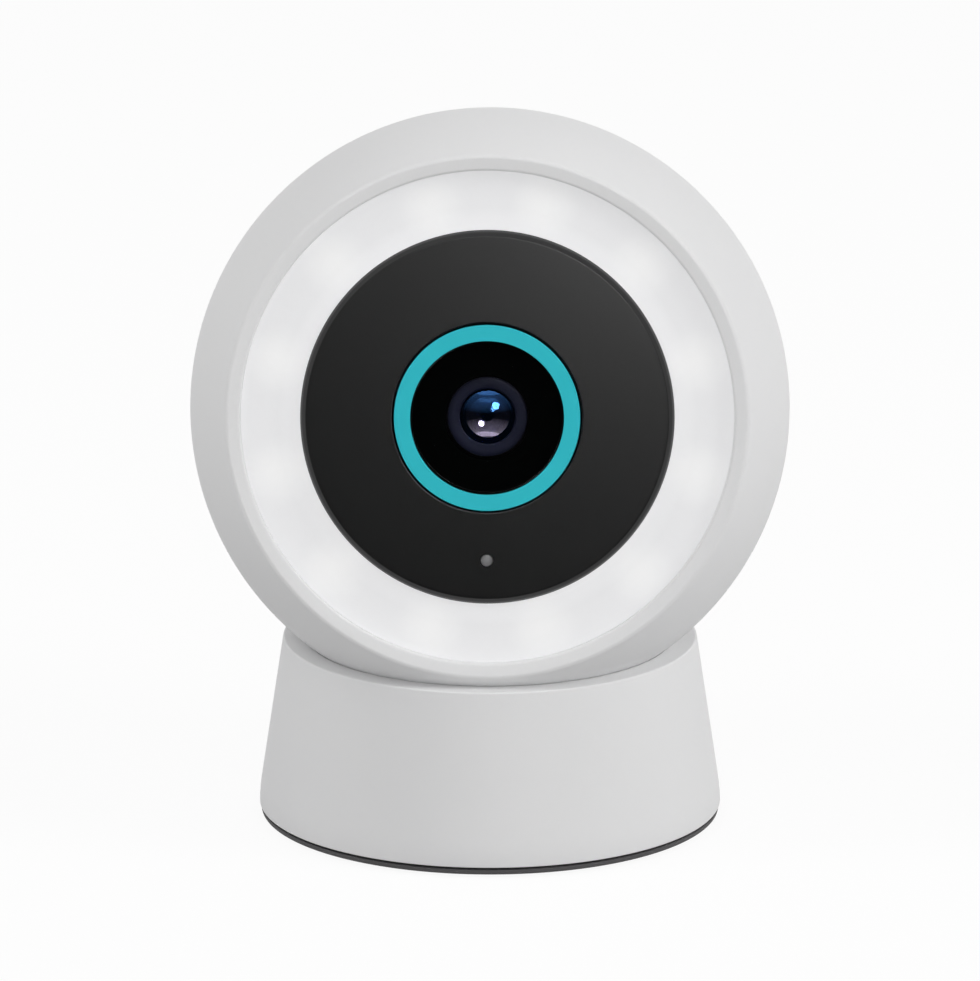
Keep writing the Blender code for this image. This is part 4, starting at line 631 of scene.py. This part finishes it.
status_outline = [
    (STATUS_INNER, STATUS_FRONT, 0.04),
    (STATUS_OUTER, STATUS_FRONT, 0.04),
    (STATUS_OUTER, STATUS_BACK),
    (LEDGE_INNER, STATUS_BACK),
    (LEDGE_INNER, WINDOW_BACK - GLUE),
    (STATUS_INNER, WINDOW_BACK - GLUE),
]
status = turned("status_light", eased(status_outline), sides=160)
set_in_ball(status)
wear(status, teal_acrylic, "head", "status_light", "status_ring")

# The window is a round of cover glass over the lens, glued on the ledge of the status ring. It has
# black ink printed on its back all round, which leaves only the lens clear.
WINDOW_RADIUS = 12.1
CLEAR_RADIUS = 6.85
window_outline = [
    (0, WINDOW_FRONT),
    (WINDOW_RADIUS, WINDOW_FRONT, 0.03),
    (WINDOW_RADIUS, WINDOW_BACK, 0.03),
    (0, WINDOW_BACK),
]
window = turned("window", eased(window_outline, count=3), sides=128)
set_in_ball(window)

# Cover glass with a low-reflection coat: clear over the lens, and black where it is printed. The
# print lies on the back, outside a circle of 6.85 mm radius about the lens axis.
cover_glass, tree, shader = surface(
    "printed_cover_glass", {"IOR": 1.3, "Roughness": 0.03, "Base Color": srgb("#030404")}
)
axes = add_node(tree, "ShaderNodeSeparateXYZ", {0: on_lens_axis(tree)})
flat = add_node(tree, "ShaderNodeCombineXYZ", {0: axes.outputs[0], 1: axes.outputs[1]})
radius = add_node(tree, "ShaderNodeVectorMath", {0: flat.outputs[0]}, operation="LENGTH").outputs["Value"]
outer = add_node(tree, "ShaderNodeMath", {0: radius, 1: CLEAR_RADIUS * MM}, operation="GREATER_THAN")
front_skin = (WINDOW_FRONT - 0.3) * MM
behind = add_node(tree, "ShaderNodeMath", {0: axes.outputs[2], 1: front_skin}, operation="LESS_THAN")
printed = add_node(tree, "ShaderNodeMath", {0: outer.outputs[0], 1: behind.outputs[0]}, operation="MULTIPLY")
cover = add_node(tree, "ShaderNodeMapRange", {"Value": printed.outputs[0], "To Min": 0.03, "To Max": 1.0})
tree.links.new(cover.outputs[0], shader.inputs["Alpha"])
wear(window, cover_glass, "head", "window_glass", "lens_window")

# The lens screws into its holder behind the window. Its barrel and the ring that holds the front
# glass are turned in aluminium and anodised, black inside and blue-black on the ring.
GLASS_RADIUS = 4.6
GLASS_BACK = 18.107
LENS_TIP = 22.307
BARREL_FRONT = 21.007
BARREL_BACK = 7.007
BARREL_BORE = 3.4
COLLAR_RADIUS = 6.9
COLLAR_BACK = 16.207
THREAD_RADIUS = 6.0
SEAT_RADIUS = 3.9
RING_FRONT = 21.807
RING_BACK = 21.307
RING_RADIUS = 6.4
RING_MOUTH = 4.45


def anodised(name, dark, pale):
    """Anodised aluminium: satin, with turning marks round the axis that are drawn at 0.25 mm."""
    material, tree, shader = surface(name, {"IOR": 1.25})
    marks = add_node(
        tree,
        "ShaderNodeTexWave",
        {"Vector": on_lens_axis(tree), "Scale": 1 / (0.25 * MM * 20), "Distortion": 0.6, "Detail": 2.0},
        wave_type="RINGS",
        rings_direction="Z",
    ).outputs["Fac"]
    tone = add_node(tree, "ShaderNodeMix", {"Factor": marks, 6: srgb(dark), 7: srgb(pale)}, data_type="RGBA")
    dull = add_node(tree, "ShaderNodeMapRange", {"Value": marks, "To Min": 0.36, "To Max": 0.46})
    tree.links.new(tone.outputs[2], shader.inputs["Base Color"])
    tree.links.new(dull.outputs[0], shader.inputs["Roughness"])
    return material


black_anodised = anodised("black_anodised_aluminium", "#08080A", "#0C0C0F")
navy_anodised = anodised("blue_black_anodised_aluminium", "#141729", "#181B2D")

barrel_outline = [
    (GLASS_RADIUS + 0.3, BARREL_FRONT, 0.1),
    (COLLAR_RADIUS, BARREL_FRONT, 0.25),
    (COLLAR_RADIUS, COLLAR_BACK, 0.1),
    (THREAD_RADIUS, COLLAR_BACK),
    (THREAD_RADIUS, BARREL_BACK),
    (BARREL_BORE, BARREL_BACK),
    (BARREL_BORE, GLASS_BACK - 1.2),
    (SEAT_RADIUS, GLASS_BACK - 1.2),
    (SEAT_RADIUS, GLASS_BACK - 0.3),
    (GLASS_RADIUS + 0.3, GLASS_BACK - 0.3),
]
barrel = turned("barrel", eased(barrel_outline), sides=96)
set_in_ball(barrel)
wear(barrel, black_anodised, "head", "lens_trim", "lens_barrel")

retainer_outline = [
    (RING_MOUTH, RING_BACK + 0.05, 0.04),
    (RING_MOUTH + 0.17, RING_FRONT - 0.02, 0.06),
    (RING_RADIUS, RING_FRONT, 0.06),
    (RING_RADIUS, RING_BACK, 0.05),
    (GLASS_RADIUS, RING_BACK),
]
retainer = turned("glass_retainer", eased(retainer_outline, count=3), sides=128)
set_in_ball(retainer)
wear(retainer, navy_anodised, "head", "lens_trim", "lens_retainer")
recoat(black_anodised, "lens_holder")

# The front glass is a meniscus, with a wide dome in front and a steeper one behind, and the glass
# after it has a hollow face. Each face is ground, polished and coated, and throws back its own colour.
DOME_RADIUS = 10.0
DOME_TIP = LENS_TIP - 0.1
INNER_DOME = 3.1
INNER_RADIUS = 6.5
INNER_TIP = LENS_TIP - 0.9
HOLLOW = 3.55
HOLLOW_RADIUS = 7.6
HOLLOW_EDGE = 0.3


def coated_glass(name, colour, alpha):
    """Coated optical glass: clear, with a mirror-like coat of one colour and faint clouds of 1 mm."""
    material, tree, shader = surface(name, {"Metallic": 1.0, "Roughness": 0.02, "Alpha": alpha})
    place = add_node(tree, "ShaderNodeTexCoord").outputs["Object"]
    cloud = add_node(tree, "ShaderNodeTexNoise", {"Vector": place, "Scale": 1 / (1 * MM), "Detail": 1.0})
    deeper = tuple(0.92 * c for c in srgb(colour)[:3])
    tones = {"Factor": cloud.outputs[0], 6: srgb(colour), 7: (*deeper, 1)}
    tone = add_node(tree, "ShaderNodeMix", tones, data_type="RGBA")
    tree.links.new(tone.outputs[2], shader.inputs["Base Color"])
    return material


blue_coat = coated_glass("blue_coated_glass", "#3967A5", 0.3)
purple_coat = coated_glass("purple_coated_glass", "#C9BEDC", 1.0)

dome_end = math.degrees(math.asin(RING_MOUTH / DOME_RADIUS))
dome = ball_arc(DOME_RADIUS, 0, dome_end, 18, DOME_TIP - DOME_RADIUS)
inner_end = math.degrees(math.asin(INNER_DOME / INNER_RADIUS))
inner_dome = ball_arc(INNER_RADIUS, inner_end, 0, 18, INNER_TIP - INNER_RADIUS)
glass = turned(
    "front_glass",
    [(0, dome[0][1]), *dome[1:], (RING_MOUTH, inner_dome[0][1]), *inner_dome[:-1], (0, inner_dome[-1][1])],
    sides=128,
)
set_in_ball(glass)
wear(glass, blue_coat, "head", "lens_glass", "lens_front_element", angle=20)

hollow = []
for k in range(17):
    r = HOLLOW * k / 16
    hollow.append((r, GLASS_BACK + 0.2 + HOLLOW_RADIUS - math.sqrt(HOLLOW_RADIUS**2 - r * r)))
hollow_rim = HOLLOW + HOLLOW_EDGE
hollow_back = GLASS_BACK - 0.3
hollow_glass = turned(
    "hollow_glass",
    [*hollow, (hollow_rim, hollow[-1][1]), (hollow_rim, hollow_back), (0, hollow_back)],
    sides=112,
)
set_in_ball(hollow_glass)
wear(hollow_glass, purple_coat, "head", "lens_glass", angle=20)
recoat(purple_coat, "lens_rear_element")

# Behind the lens sit the image sensor and its board, and behind the diffuser the ring of LEDs.
# The boards are glass-filled laminate, green for the circuits and white for the lights.
# Green solder mask over copper: dark green and half glossy, with paler lines where tracks run,
# drawn as bricks of 2 by 1 mm turned with the head.
green_board, tree, shader = surface("green_circuit_board", {"IOR": 1.5, "Roughness": 0.32})
tracks = add_node(
    tree,
    "ShaderNodeTexBrick",
    {
        "Vector": on_lens_axis(tree),
        "Scale": 1 / (4 * MM),
        "Mortar Size": 0.03,
        "Color1": srgb("#0F4A2A"),
        "Color2": srgb("#12522E"),
        "Mortar": srgb("#2A7A4C"),
    },
)
tree.links.new(tracks.outputs[0], shader.inputs["Base Color"])
recoat(green_board, "main_board", "sensor_board", "port_board", "wifi_antenna")

# White solder mask: bright and half glossy. The weave under it shows as faint clouds of 0.6 mm.
white_board = grained(
    "white_circuit_board",
    {"IOR": 1.5, "Roughness": 0.35},
    grain=(0.6, 1.0),
    colours=("#D8D8D4", "#E4E4E1"),
)
recoat(white_board, "led_board", "status_board")
recoat(black_abs, "image_sensor")

# The heat sink is the head's chassis: a finned plate that carries the LED board and the sensor, held
# in the front housing by three screws. It is die-cast aluminium, left bare.
# Die-cast aluminium: pale grey metal, dull, with a mottle of about 1.5 mm from the casting.
cast_aluminium = grained(
    "die_cast_aluminium",
    {"Metallic": 1.0},
    grain=(1.5, 4.0),
    colours=("#B4B6B8", "#CACBCD"),
    dull=(0.4, 0.58),
)
recoat(cast_aluminium, "heat_sink")
recoat(zinc_steel, "chassis_screw_1", "chassis_screw_2", "chassis_screw_3")
recoat(zinc_steel, "keeper_plate_front", "keeper_plate_rear")

# Three bundles of fine wire run from the main board to the lights, the speaker and the ports.
# Each is sleeved in black PVC, which is smooth and half glossy with faint clouds of 0.8 mm.
pvc = grained(
    "black_pvc_sleeve",
    {"IOR": 1.53, "Roughness": 0.4},
    grain=(0.8, 1.0),
    colours=("#19191A", "#242425"),
)
recoat(pvc, "led_lead", "speaker_lead", "port_lead")
recoat(black_abs, "speaker", "reset_switch")

# The rear shell closes the ball. It is moulded in the same white, with a sunk bay for the sockets,
# a grille of small holes over the speaker, and three deep wells for the screws that hold it on.
REAR_SEAM = -5.3
SEAL_GROOVE = (2.9, 1.3, 1.4)
PORT_RISE = 28.0
PORT_TURN = 180 + PORT_RISE
BAY = (33.0, 11.0)
BAY_WALL = 1.8
BAY_FLOOR = 44.3
BAY_INSIDE = 42.7
BAY_ROUND = 0.7
SOCKET = (9.0, 3.3)
SOCKET_PLACE = -4.2
CARD = (11.6, 1.8)
CARD_PLACE = 8.3
BUTTON_RADIUS = 2.0
BUTTON_PLACE = -12.2
SPEAKER_DROP = 4.0
GRILLE_PITCH = 3.6
GRILLE_HOLE = 0.9
WELL_CIRCLE = 32.5
WELL_ANGLES = (90, 210, 330)
WELL_RADIUS = 2.65
SHANK_HOLE = 1.4
TOWER_RADIUS = 3.8
TOWER_FRONT = -11.593
SCREW_SEAT = -11.893
well_places = [(WELL_CIRCLE * math.cos(a), WELL_CIRCLE * math.sin(a)) for a in map(math.radians, WELL_ANGLES)]


def tipped(piece, angle):
    """Turns a piece's mesh about X, in degrees, and leaves its object unturned."""
    bpy.ops.object.select_all(action="DESELECT")
    piece.select_set(True)
    bpy.context.view_layer.objects.active = piece
    piece.rotation_euler.x = math.radians(angle)
    bpy.ops.object.transform_apply(rotation=True)
    return piece


def copied(piece):
    """A copy of a piece with its own mesh."""
    made = piece.copy()
    made.data = piece.data.copy()
    bpy.context.scene.collection.objects.link(made)
    return made


def joined(pieces):
    """Several pieces made one, under the first one's name."""
    bpy.ops.object.select_all(action="DESELECT")
    for piece in pieces:
        piece.select_set(True)
    bpy.context.view_layer.objects.active = pieces[0]
    bpy.ops.object.join()
    return pieces[0]


def on_ball(x, y):
    """Height of the ball's surface over this place, along the axis of the frame that x and y are in."""
    return math.sqrt(BALL_RADIUS**2 - x * x - y * y)


def slot_stack(name, x, size, round_end, steps, turn=12):
    """A closed shape skinned over rounded slots at a place in the bay. A step is (outset, height)."""
    rows = []
    for out, height in steps:
        rows.append([(x + px, py, height) for px, py in slot_outline(*size, round_end, out, turn=turn)])
    return lofted(name, rows)


rear_angle = math.degrees(math.acos(REAR_SEAM / BALL_RADIUS))
rear_rim = math.sqrt(BALL_RADIUS**2 - REAR_SEAM**2)
rear_flange = REAR_SEAM - FLANGE_DEPTH
groove_inner, groove_outer, groove_depth = SEAL_GROOVE
rear_outline = [
    (0, -BALL_INNER),
    *ball_arc(BALL_INNER, 180, math.degrees(math.acos(rear_flange / BALL_INNER)), 22)[1:],
    (flange_inner, rear_flange),
    (flange_inner, REAR_SEAM),
    (rear_rim - groove_inner, REAR_SEAM),
    (rear_rim - groove_inner, REAR_SEAM - groove_depth),
    (rear_rim - groove_outer, REAR_SEAM - groove_depth),
    (rear_rim - groove_outer, REAR_SEAM),
    (*ball_arc(BALL_RADIUS, rear_angle, rear_angle, 1)[0], SEAM_ROUND),
    *ball_arc(BALL_RADIUS, rear_angle + SEAM_BLEND, 180, 64)[:-1],
    (0, -BALL_RADIUS),
]
rear = turned("rear_half", eased(rear_outline, count=6), sides=224)

# The bay's walls and the screw towers are added inside, ending in the middle of the wall.
middle = (BALL_RADIUS + BALL_INNER) / 2
inner_ball = turned(
    "wall_middle",
    [(0, -middle), *ball_arc(middle, 180, 0, 60)[1:-1], (0, middle)],
    sides=120,
)
block_size = (BAY[0] + 2 * BAY_WALL, BAY[1] + 2 * BAY_WALL)
block = slot_stack("bay_block", 0, block_size, BAY[1] / 2 + BAY_WALL, ((0, BAY_INSIDE), (0, 54)))
inside = [tipped(block, PORT_TURN)]
tower = turned(
    "tower",
    [(0, TOWER_FRONT), (TOWER_RADIUS, TOWER_FRONT), (TOWER_RADIUS, -48), (0, -48)],
    sides=40,
)
for x, y in well_places:
    inside.append(moved(copied(tower), x, y))
bpy.data.objects.remove(tower)
for added in inside:
    shape_with(added, copied(inner_ball), "INTERSECT")
    shape_with(rear, added, "UNION")
bpy.data.objects.remove(inner_ball)

# The bay is cut with a rolled edge that follows the ball, straight walls and a rolled floor.
rolled = [(0.99, -0.27), (0.445, 0.02), (0.214, 0.14), (0.056, 0.346), (0.0, 0.6)]
bay_rows = [[(x, y, 56) for x, y in slot_outline(*BAY, BAY[1] / 2, rolled[0][0])]]
for out, drop in rolled:
    bay_rows.append([(x, y, on_ball(x, y) - drop) for x, y in slot_outline(*BAY, BAY[1] / 2, out)])
for k in range(5):
    a = math.radians(90 * k / 4)
    out = -BAY_ROUND * (1 - math.cos(a))
    height = BAY_FLOOR + BAY_ROUND * (1 - math.sin(a))
    bay_rows.append([(x, y, height) for x, y in slot_outline(*BAY, BAY[1] / 2, out)])

# Each mouth in its floor is a little wider than what fills it, and flared.
flared = ((0.3, BAY_INSIDE - 4), (0.3, BAY_FLOOR - 0.25), (0.45, BAY_FLOOR), (0.75, BAY_FLOOR + 0.5))
button_size = (2 * BUTTON_RADIUS, 2 * BUTTON_RADIUS)
for tool in (
    lofted("bay", bay_rows),
    slot_stack("socket_mouth", SOCKET_PLACE, SOCKET, SOCKET[1] / 2, flared),
    slot_stack("card_mouth", CARD_PLACE, CARD, 0.3, flared),
    slot_stack("button_mouth", BUTTON_PLACE, button_size, BUTTON_RADIUS, flared),
):
    shape_with(rear, tipped(tool, PORT_TURN))

# Nineteen holes in rings of six, each flared where it meets the ball.
drill_outline = [
    (0, -5),
    (GRILLE_HOLE, -5),
    (GRILLE_HOLE, -0.25),
    (GRILLE_HOLE + 0.2, 0.02),
    (GRILLE_HOLE + 0.5, 0.4),
    (0, 0.4),
]
drill = turned("grille_drill", drill_outline, sides=24)
drills = []
for row in range(-2, 3):
    for column in range(-2, 3):
        if abs(row + column) <= 2:
            x = GRILLE_PITCH * (row + column / 2)
            y = GRILLE_PITCH * column * math.sqrt(3) / 2
            drills.append(moved(copied(drill), x, y, on_ball(x, y)))
bpy.data.objects.remove(drill)
shape_with(rear, tipped(joined(drills), 180 - SPEAKER_DROP))

# Each well runs in from the ball's surface to its screw's seat, with a hole for the shank in front.
well = turned("well", [(0, SCREW_SEAT), (WELL_RADIUS, SCREW_SEAT), (WELL_RADIUS, -60), (0, -60)], sides=48)
shank = turned("shank_hole", [(0, 5), (SHANK_HOLE, 5), (SHANK_HOLE, -20), (0, -20)], sides=24)
for x, y in well_places:
    for tool in (well, shank):
        shape_with(rear, moved(copied(tool), x, y))
bpy.data.objects.remove(well)
bpy.data.objects.remove(shank)
set_in_ball(rear)
wear(rear, white_abs, "head", "white_shell", "rear_shell")

# The three housing screws pull the rear shell to the heat sink. They are plated steel pan heads with
# a cross recess, deep in their wells.
SCREW_LENGTH = 13.8
SHANK_RADIUS = 1.1
POINT_RADIUS = 0.7
POINT_START = 13.0
HEAD_RADIUS = 2.2
HEAD_HEIGHT = 1.6
RECESS_STEPS = ((0.22, -0.4), (0.34, -1.2), (0.4, -2.0))
RECESS_RATIO = 3.4
screw_outline = [
    (0, SCREW_LENGTH),
    (POINT_RADIUS, SCREW_LENGTH, 0.2),
    (SHANK_RADIUS, POINT_START),
    (SHANK_RADIUS, 0),
    (HEAD_RADIUS, 0, 0.1),
    (HEAD_RADIUS, -1.0, 0.5),
    (1.2, -HEAD_HEIGHT, 0.6),
    (0, -HEAD_HEIGHT),
]
screw = turned("housing_screw", eased(screw_outline), sides=40)
for turn in (0, 90):
    a = math.radians(turn)
    rows = []
    for half, height in RECESS_STEPS:
        long = half * RECESS_RATIO
        row = []
        for x, y in ((-long, -half), (long, -half), (long, half), (-long, half)):
            row.append((x * math.cos(a) - y * math.sin(a), x * math.sin(a) + y * math.cos(a), height))
        rows.append(row)
    shape_with(screw, lofted("recess", rows))
for number, (x, y) in enumerate(well_places, 1):
    made = moved(copied(screw), x, y, SCREW_SEAT - 0.3)
    made.name = made.data.name = f"rear_screw_{number}"
    set_in_ball(made)
    wear(made, zinc_steel, "head", "steel", f"housing_screw_{number}")
bpy.data.objects.remove(screw)

# The power socket is a reversible one: an oval shell drawn from thin steel round a flat tongue of
# black plastic with gilt contacts. It is soldered to the port board.
TONGUE = (3.35, 0.35)
socket_steps = (
    (0, BAY_FLOOR - 8),
    (0, BAY_FLOOR - 0.12),
    (-0.1, BAY_FLOOR),
    (-0.25, BAY_FLOOR),
    (-0.35, BAY_FLOOR - 0.12),
    (-0.35, BAY_FLOOR - 6.2),
)
socket = slot_stack("socket_shell", SOCKET_PLACE, SOCKET, SOCKET[1] / 2, socket_steps)
set_in_ball(socket, PORT_TURN)
wear(socket, zinc_steel, "head", "steel", "power_socket")

tongue_rows = []
for inset, height in ((0, BAY_FLOOR - 6.25), (0, BAY_FLOOR - 1.8), (0.12, BAY_FLOOR - 1.6)):
    x, y = TONGUE[0] - inset, TONGUE[1] - inset
    tongue_rows.append([(SOCKET_PLACE + cx, cy, height) for cx, cy in ((-x, -y), (x, -y), (x, y), (-x, y))])
tongue = lofted("socket_tongue", tongue_rows)
set_in_ball(tongue, PORT_TURN)

# Black nylon with gilt contacts: dull black between bright gold strips, 0.25 mm wide on a pitch of
# 0.5 mm across the tongue.
gilt_nylon, tree, shader = surface("black_nylon_gilt_contacts", {"IOR": 1.53, "Roughness": 0.35})
place = add_node(tree, "ShaderNodeTexCoord").outputs["Object"]
axes = add_node(tree, "ShaderNodeSeparateXYZ", {0: place})
pitch = add_node(tree, "ShaderNodeMath", {0: axes.outputs[0], 1: 1 / (0.5 * MM)}, operation="MULTIPLY")
share = add_node(tree, "ShaderNodeMath", {0: pitch.outputs[0]}, operation="FRACT")
strip = add_node(tree, "ShaderNodeMath", {0: share.outputs[0], 1: 0.5}, operation="GREATER_THAN")
tones = {"Factor": strip.outputs[0], 6: srgb("#1A1A1B"), 7: srgb("#C9A24A")}
tone = add_node(tree, "ShaderNodeMix", tones, data_type="RGBA")
tree.links.new(tone.outputs[2], shader.inputs["Base Color"])
tree.links.new(strip.outputs[0], shader.inputs["Metallic"])
wear(tongue, gilt_nylon, "head", "black_plastic")

# The card socket is a thin steel box that takes a memory card on edge. Its mouth sits flush with
# the floor of the bay.
card_steps = (
    (0, BAY_FLOOR - 14),
    (0, BAY_FLOOR - 0.1),
    (-0.08, BAY_FLOOR),
    (-0.22, BAY_FLOOR),
    (-0.3, BAY_FLOOR - 0.1),
    (-0.3, BAY_FLOOR - 12),
)
card = slot_stack("card_socket_shell", CARD_PLACE, CARD, 0.35, card_steps, turn=4)
set_in_ball(card, PORT_TURN)
wear(card, zinc_steel, "head", "steel", "card_socket")

# The reset button is a small grey key in the bay. It is moulded with a shallow dish for a fingertip,
# a flange that keeps it in, and a stem that presses the switch.
BUTTON_RISE = 0.8
DISH_RADIUS = 1.5
DISH_DEPTH = 0.18
KEEPER_RADIUS = 2.8
KEEPER_TOP = BAY_INSIDE - 0.3
KEEPER_BOTTOM = BAY_INSIDE - 1.1
STEM_RADIUS = 1.0
STEM_END = BAY_INSIDE - 2.1
button_top = BAY_FLOOR + BUTTON_RISE
button_outline = [
    *((r, button_top - DISH_DEPTH * (1 - (r / DISH_RADIUS) ** 2)) for r in (0, 0.3, 0.6, 0.9, 1.2)),
    (DISH_RADIUS, button_top, 0.15),
    (BUTTON_RADIUS, button_top - 0.05, 0.22),
    (BUTTON_RADIUS, KEEPER_TOP),
    (KEEPER_RADIUS, KEEPER_TOP),
    (KEEPER_RADIUS, KEEPER_BOTTOM),
    (STEM_RADIUS, KEEPER_BOTTOM),
    (STEM_RADIUS, STEM_END),
    (0, STEM_END),
]
button = turned("reset_key", eased(button_outline), sides=48)
set_in_ball(moved(button, BUTTON_PLACE), PORT_TURN)

# Grey acetal: a smooth mid grey with a waxy sheen and a faint flow mark of 1.5 mm.
grey_acetal = grained(
    "grey_acetal",
    {"IOR": 1.48},
    grain=(1.5, 2.0),
    colours=("#77787A", "#838486"),
    dull=(0.3, 0.42),
)
wear(button, grey_acetal, "button", "button", "reset_button")

# The studio: a plain white floor, a soft white room, a broad lamp at the right and weaker ones in
# front and at the upper left. A round lamp and a strip overhead are seen only in shiny pieces.
CAMERA_DISTANCE = 1.6
CAMERA_AZIMUTH = 1.1
CAMERA_RISE = 15.0
CAMERA_LENS = 359.0
CAMERA_SENSOR = 36.0
AIM_DROP = 13.64
FLOOR_SIZE = 8.0
FLOOR_DROP = 0.0001

ball_centre = Vector((0, 0, BALL_CENTRE * MM))


def from_ball(azimuth, rise, distance):
    """A point this far from the ball's centre, in degrees to the right of the front and above the level."""
    a, e = math.radians(azimuth), math.radians(rise)
    way = Vector((math.sin(a) * math.cos(e), -math.cos(a) * math.cos(e), math.sin(e)))
    return ball_centre + distance * way


camera_data = bpy.data.cameras.new("camera")
camera_data.lens = CAMERA_LENS
camera_data.sensor_width = CAMERA_SENSOR
camera = bpy.data.objects.new("camera", camera_data)
bpy.context.scene.collection.objects.link(camera)
camera.location = from_ball(CAMERA_AZIMUTH, CAMERA_RISE, CAMERA_DISTANCE)
sight = (ball_centre - camera.location).normalized()
upward = sight.cross(Vector((0, 0, 1))).normalized().cross(sight)
aim = ball_centre - upward * AIM_DROP * MM
camera.rotation_euler = (aim - camera.location).to_track_quat("-Z", "Y").to_euler()
bpy.context.scene.camera = camera

bpy.ops.object.select_all(action="DESELECT")
bpy.ops.mesh.primitive_plane_add(size=FLOOR_SIZE, location=(0, 0, -FLOOR_DROP))
floor = bpy.context.object
floor.name = "floor"
bpy.ops.object.transform_apply(location=True)
floor_paper = bpy.data.materials.new("white_paper")
floor_paper.use_nodes = True
tree = floor_paper.node_tree
tree.nodes.clear()
rays = add_node(tree, "ShaderNodeLightPath")
seen = rays.outputs["Is Camera Ray"]
tones = {"Factor": seen, 6: srgb("#BEBEBE"), 7: (1, 1, 1, 1)}
shade = add_node(tree, "ShaderNodeMix", tones, data_type="RGBA")
matt = add_node(tree, "ShaderNodeBsdfDiffuse", {"Color": shade.outputs[2]})
white = add_node(tree, "ShaderNodeEmission", {"Strength": 1.0})
lit = add_node(tree, "ShaderNodeMath", {0: seen, 1: 0.92}, operation="MULTIPLY")
paper = add_node(tree, "ShaderNodeMixShader", {0: lit.outputs[0], 1: matt.outputs[0], 2: white.outputs[0]})
add_node(tree, "ShaderNodeOutputMaterial", {"Surface": paper.outputs[0]})
floor.data.materials.append(floor_paper)
floor.visible_glossy = False

# The room is white to the camera. Its light on the object is softer and falls off overhead, and what
# shiny pieces mirror is dark ahead and low down, then white overhead and behind.
GLOOM = ((0.24, 0.985), (0.28, 0.88), (0.62, 0.4), (0.8, 0.0))
ROUND_LAMP = (16, 27)
ROUND_LAMP_EDGE = (7.2, 6.2)
STRIP_HEIGHT = 0.79
STRIP_EDGE = (0.07, 0.04)
world = bpy.data.worlds.new("studio")
bpy.context.scene.world = world
world.use_nodes = True
tree = world.node_tree
tree.nodes.clear()
direction = add_node(tree, "ShaderNodeTexCoord").outputs["Generated"]
way = add_node(tree, "ShaderNodeSeparateXYZ", {0: direction})
ahead = add_node(
    tree,
    "ShaderNodeMapRange",
    {"Value": way.outputs[1], "From Min": 0.0, "From Max": -0.6, "To Min": 0.0, "To Max": 1.0},
    interpolation_type="SMOOTHSTEP",
)
low = add_node(tree, "ShaderNodeValToRGB", {"Fac": way.outputs[2]})
low.color_ramp.elements.remove(low.color_ramp.elements[1])
for height, depth in GLOOM:
    low.color_ramp.elements.new(height).color = (depth, depth, depth, 1)
low.color_ramp.elements[0].color = (GLOOM[0][1], GLOOM[0][1], GLOOM[0][1], 1)
gloom = add_node(tree, "ShaderNodeMath", {0: ahead.outputs[0], 1: low.outputs[0]}, operation="MULTIPLY")
walls = add_node(tree, "ShaderNodeMath", {0: 1.0, 1: gloom.outputs[0]}, operation="SUBTRACT")
lamp_way = (from_ball(*ROUND_LAMP, 1.0) - ball_centre).normalized()
towards = add_node(tree, "ShaderNodeVectorMath", {0: direction, 1: lamp_way}, operation="DOT_PRODUCT")
round_lamp = add_node(
    tree,
    "ShaderNodeMapRange",
    {
        "Value": towards.outputs["Value"],
        "From Min": math.cos(math.radians(ROUND_LAMP_EDGE[0])),
        "From Max": math.cos(math.radians(ROUND_LAMP_EDGE[1])),
        "To Max": 28.0,
    },
)
above = add_node(tree, "ShaderNodeMath", {0: way.outputs[2], 1: STRIP_HEIGHT}, operation="SUBTRACT")
apart = add_node(tree, "ShaderNodeMath", {0: above.outputs[0]}, operation="ABSOLUTE")
strip_lamp = add_node(
    tree,
    "ShaderNodeMapRange",
    {"Value": apart.outputs[0], "From Min": STRIP_EDGE[0], "From Max": STRIP_EDGE[1], "To Max": 2.0},
)
over = add_node(tree, "ShaderNodeMath", {0: strip_lamp.outputs[0], 1: ahead.outputs[0]}, operation="MULTIPLY")
lamps = add_node(tree, "ShaderNodeMath", {0: over.outputs[0], 1: round_lamp.outputs[0]}, operation="ADD")
mirrored = add_node(tree, "ShaderNodeMath", {0: walls.outputs[0], 1: lamps.outputs[0]}, operation="ADD")
soft = add_node(
    tree,
    "ShaderNodeMapRange",
    {"Value": way.outputs[2], "From Min": 0.0, "From Max": 1.0, "To Min": 0.72, "To Max": 0.28},
)
rays = add_node(tree, "ShaderNodeLightPath")
shiny_rays = {0: rays.outputs["Is Glossy Ray"], 1: rays.outputs["Is Transmission Ray"]}
shiny = add_node(tree, "ShaderNodeMath", shiny_rays, operation="MAXIMUM")
levels = {"Factor": shiny.outputs[0], 2: soft.outputs[0], 3: mirrored.outputs[0]}
thrown = add_node(tree, "ShaderNodeMix", levels, data_type="FLOAT")
levels = {"Factor": rays.outputs["Is Camera Ray"], 2: thrown.outputs[0], 3: 1.0}
level = add_node(tree, "ShaderNodeMix", levels, data_type="FLOAT")
room = add_node(tree, "ShaderNodeBackground", {"Color": (1, 1, 1, 1), "Strength": level.outputs[0]})
add_node(tree, "ShaderNodeOutputWorld", {"Surface": room.outputs[0]})


def soft_lamp(name, azimuth, rise, distance, size, power):
    """A round soft lamp that faces the ball. Its own mirror image is left to the room."""
    data = bpy.data.lights.new(name, "AREA")
    data.shape = "DISK"
    data.size = size
    data.energy = power
    lamp = bpy.data.objects.new(name, data)
    bpy.context.scene.collection.objects.link(lamp)
    lamp.location = from_ball(azimuth, rise, distance)
    lamp.rotation_euler = (ball_centre - lamp.location).to_track_quat("-Z", "Y").to_euler()
    lamp.visible_glossy = False


soft_lamp("right", azimuth=72, rise=32, distance=1.4, size=0.7, power=7.2)
soft_lamp("left", azimuth=-74, rise=50, distance=1.4, size=0.7, power=4.4)
soft_lamp("front", azimuth=0, rise=4, distance=1.4, size=0.9, power=3.2)
bpy.context.scene.view_settings.view_transform = "Standard"
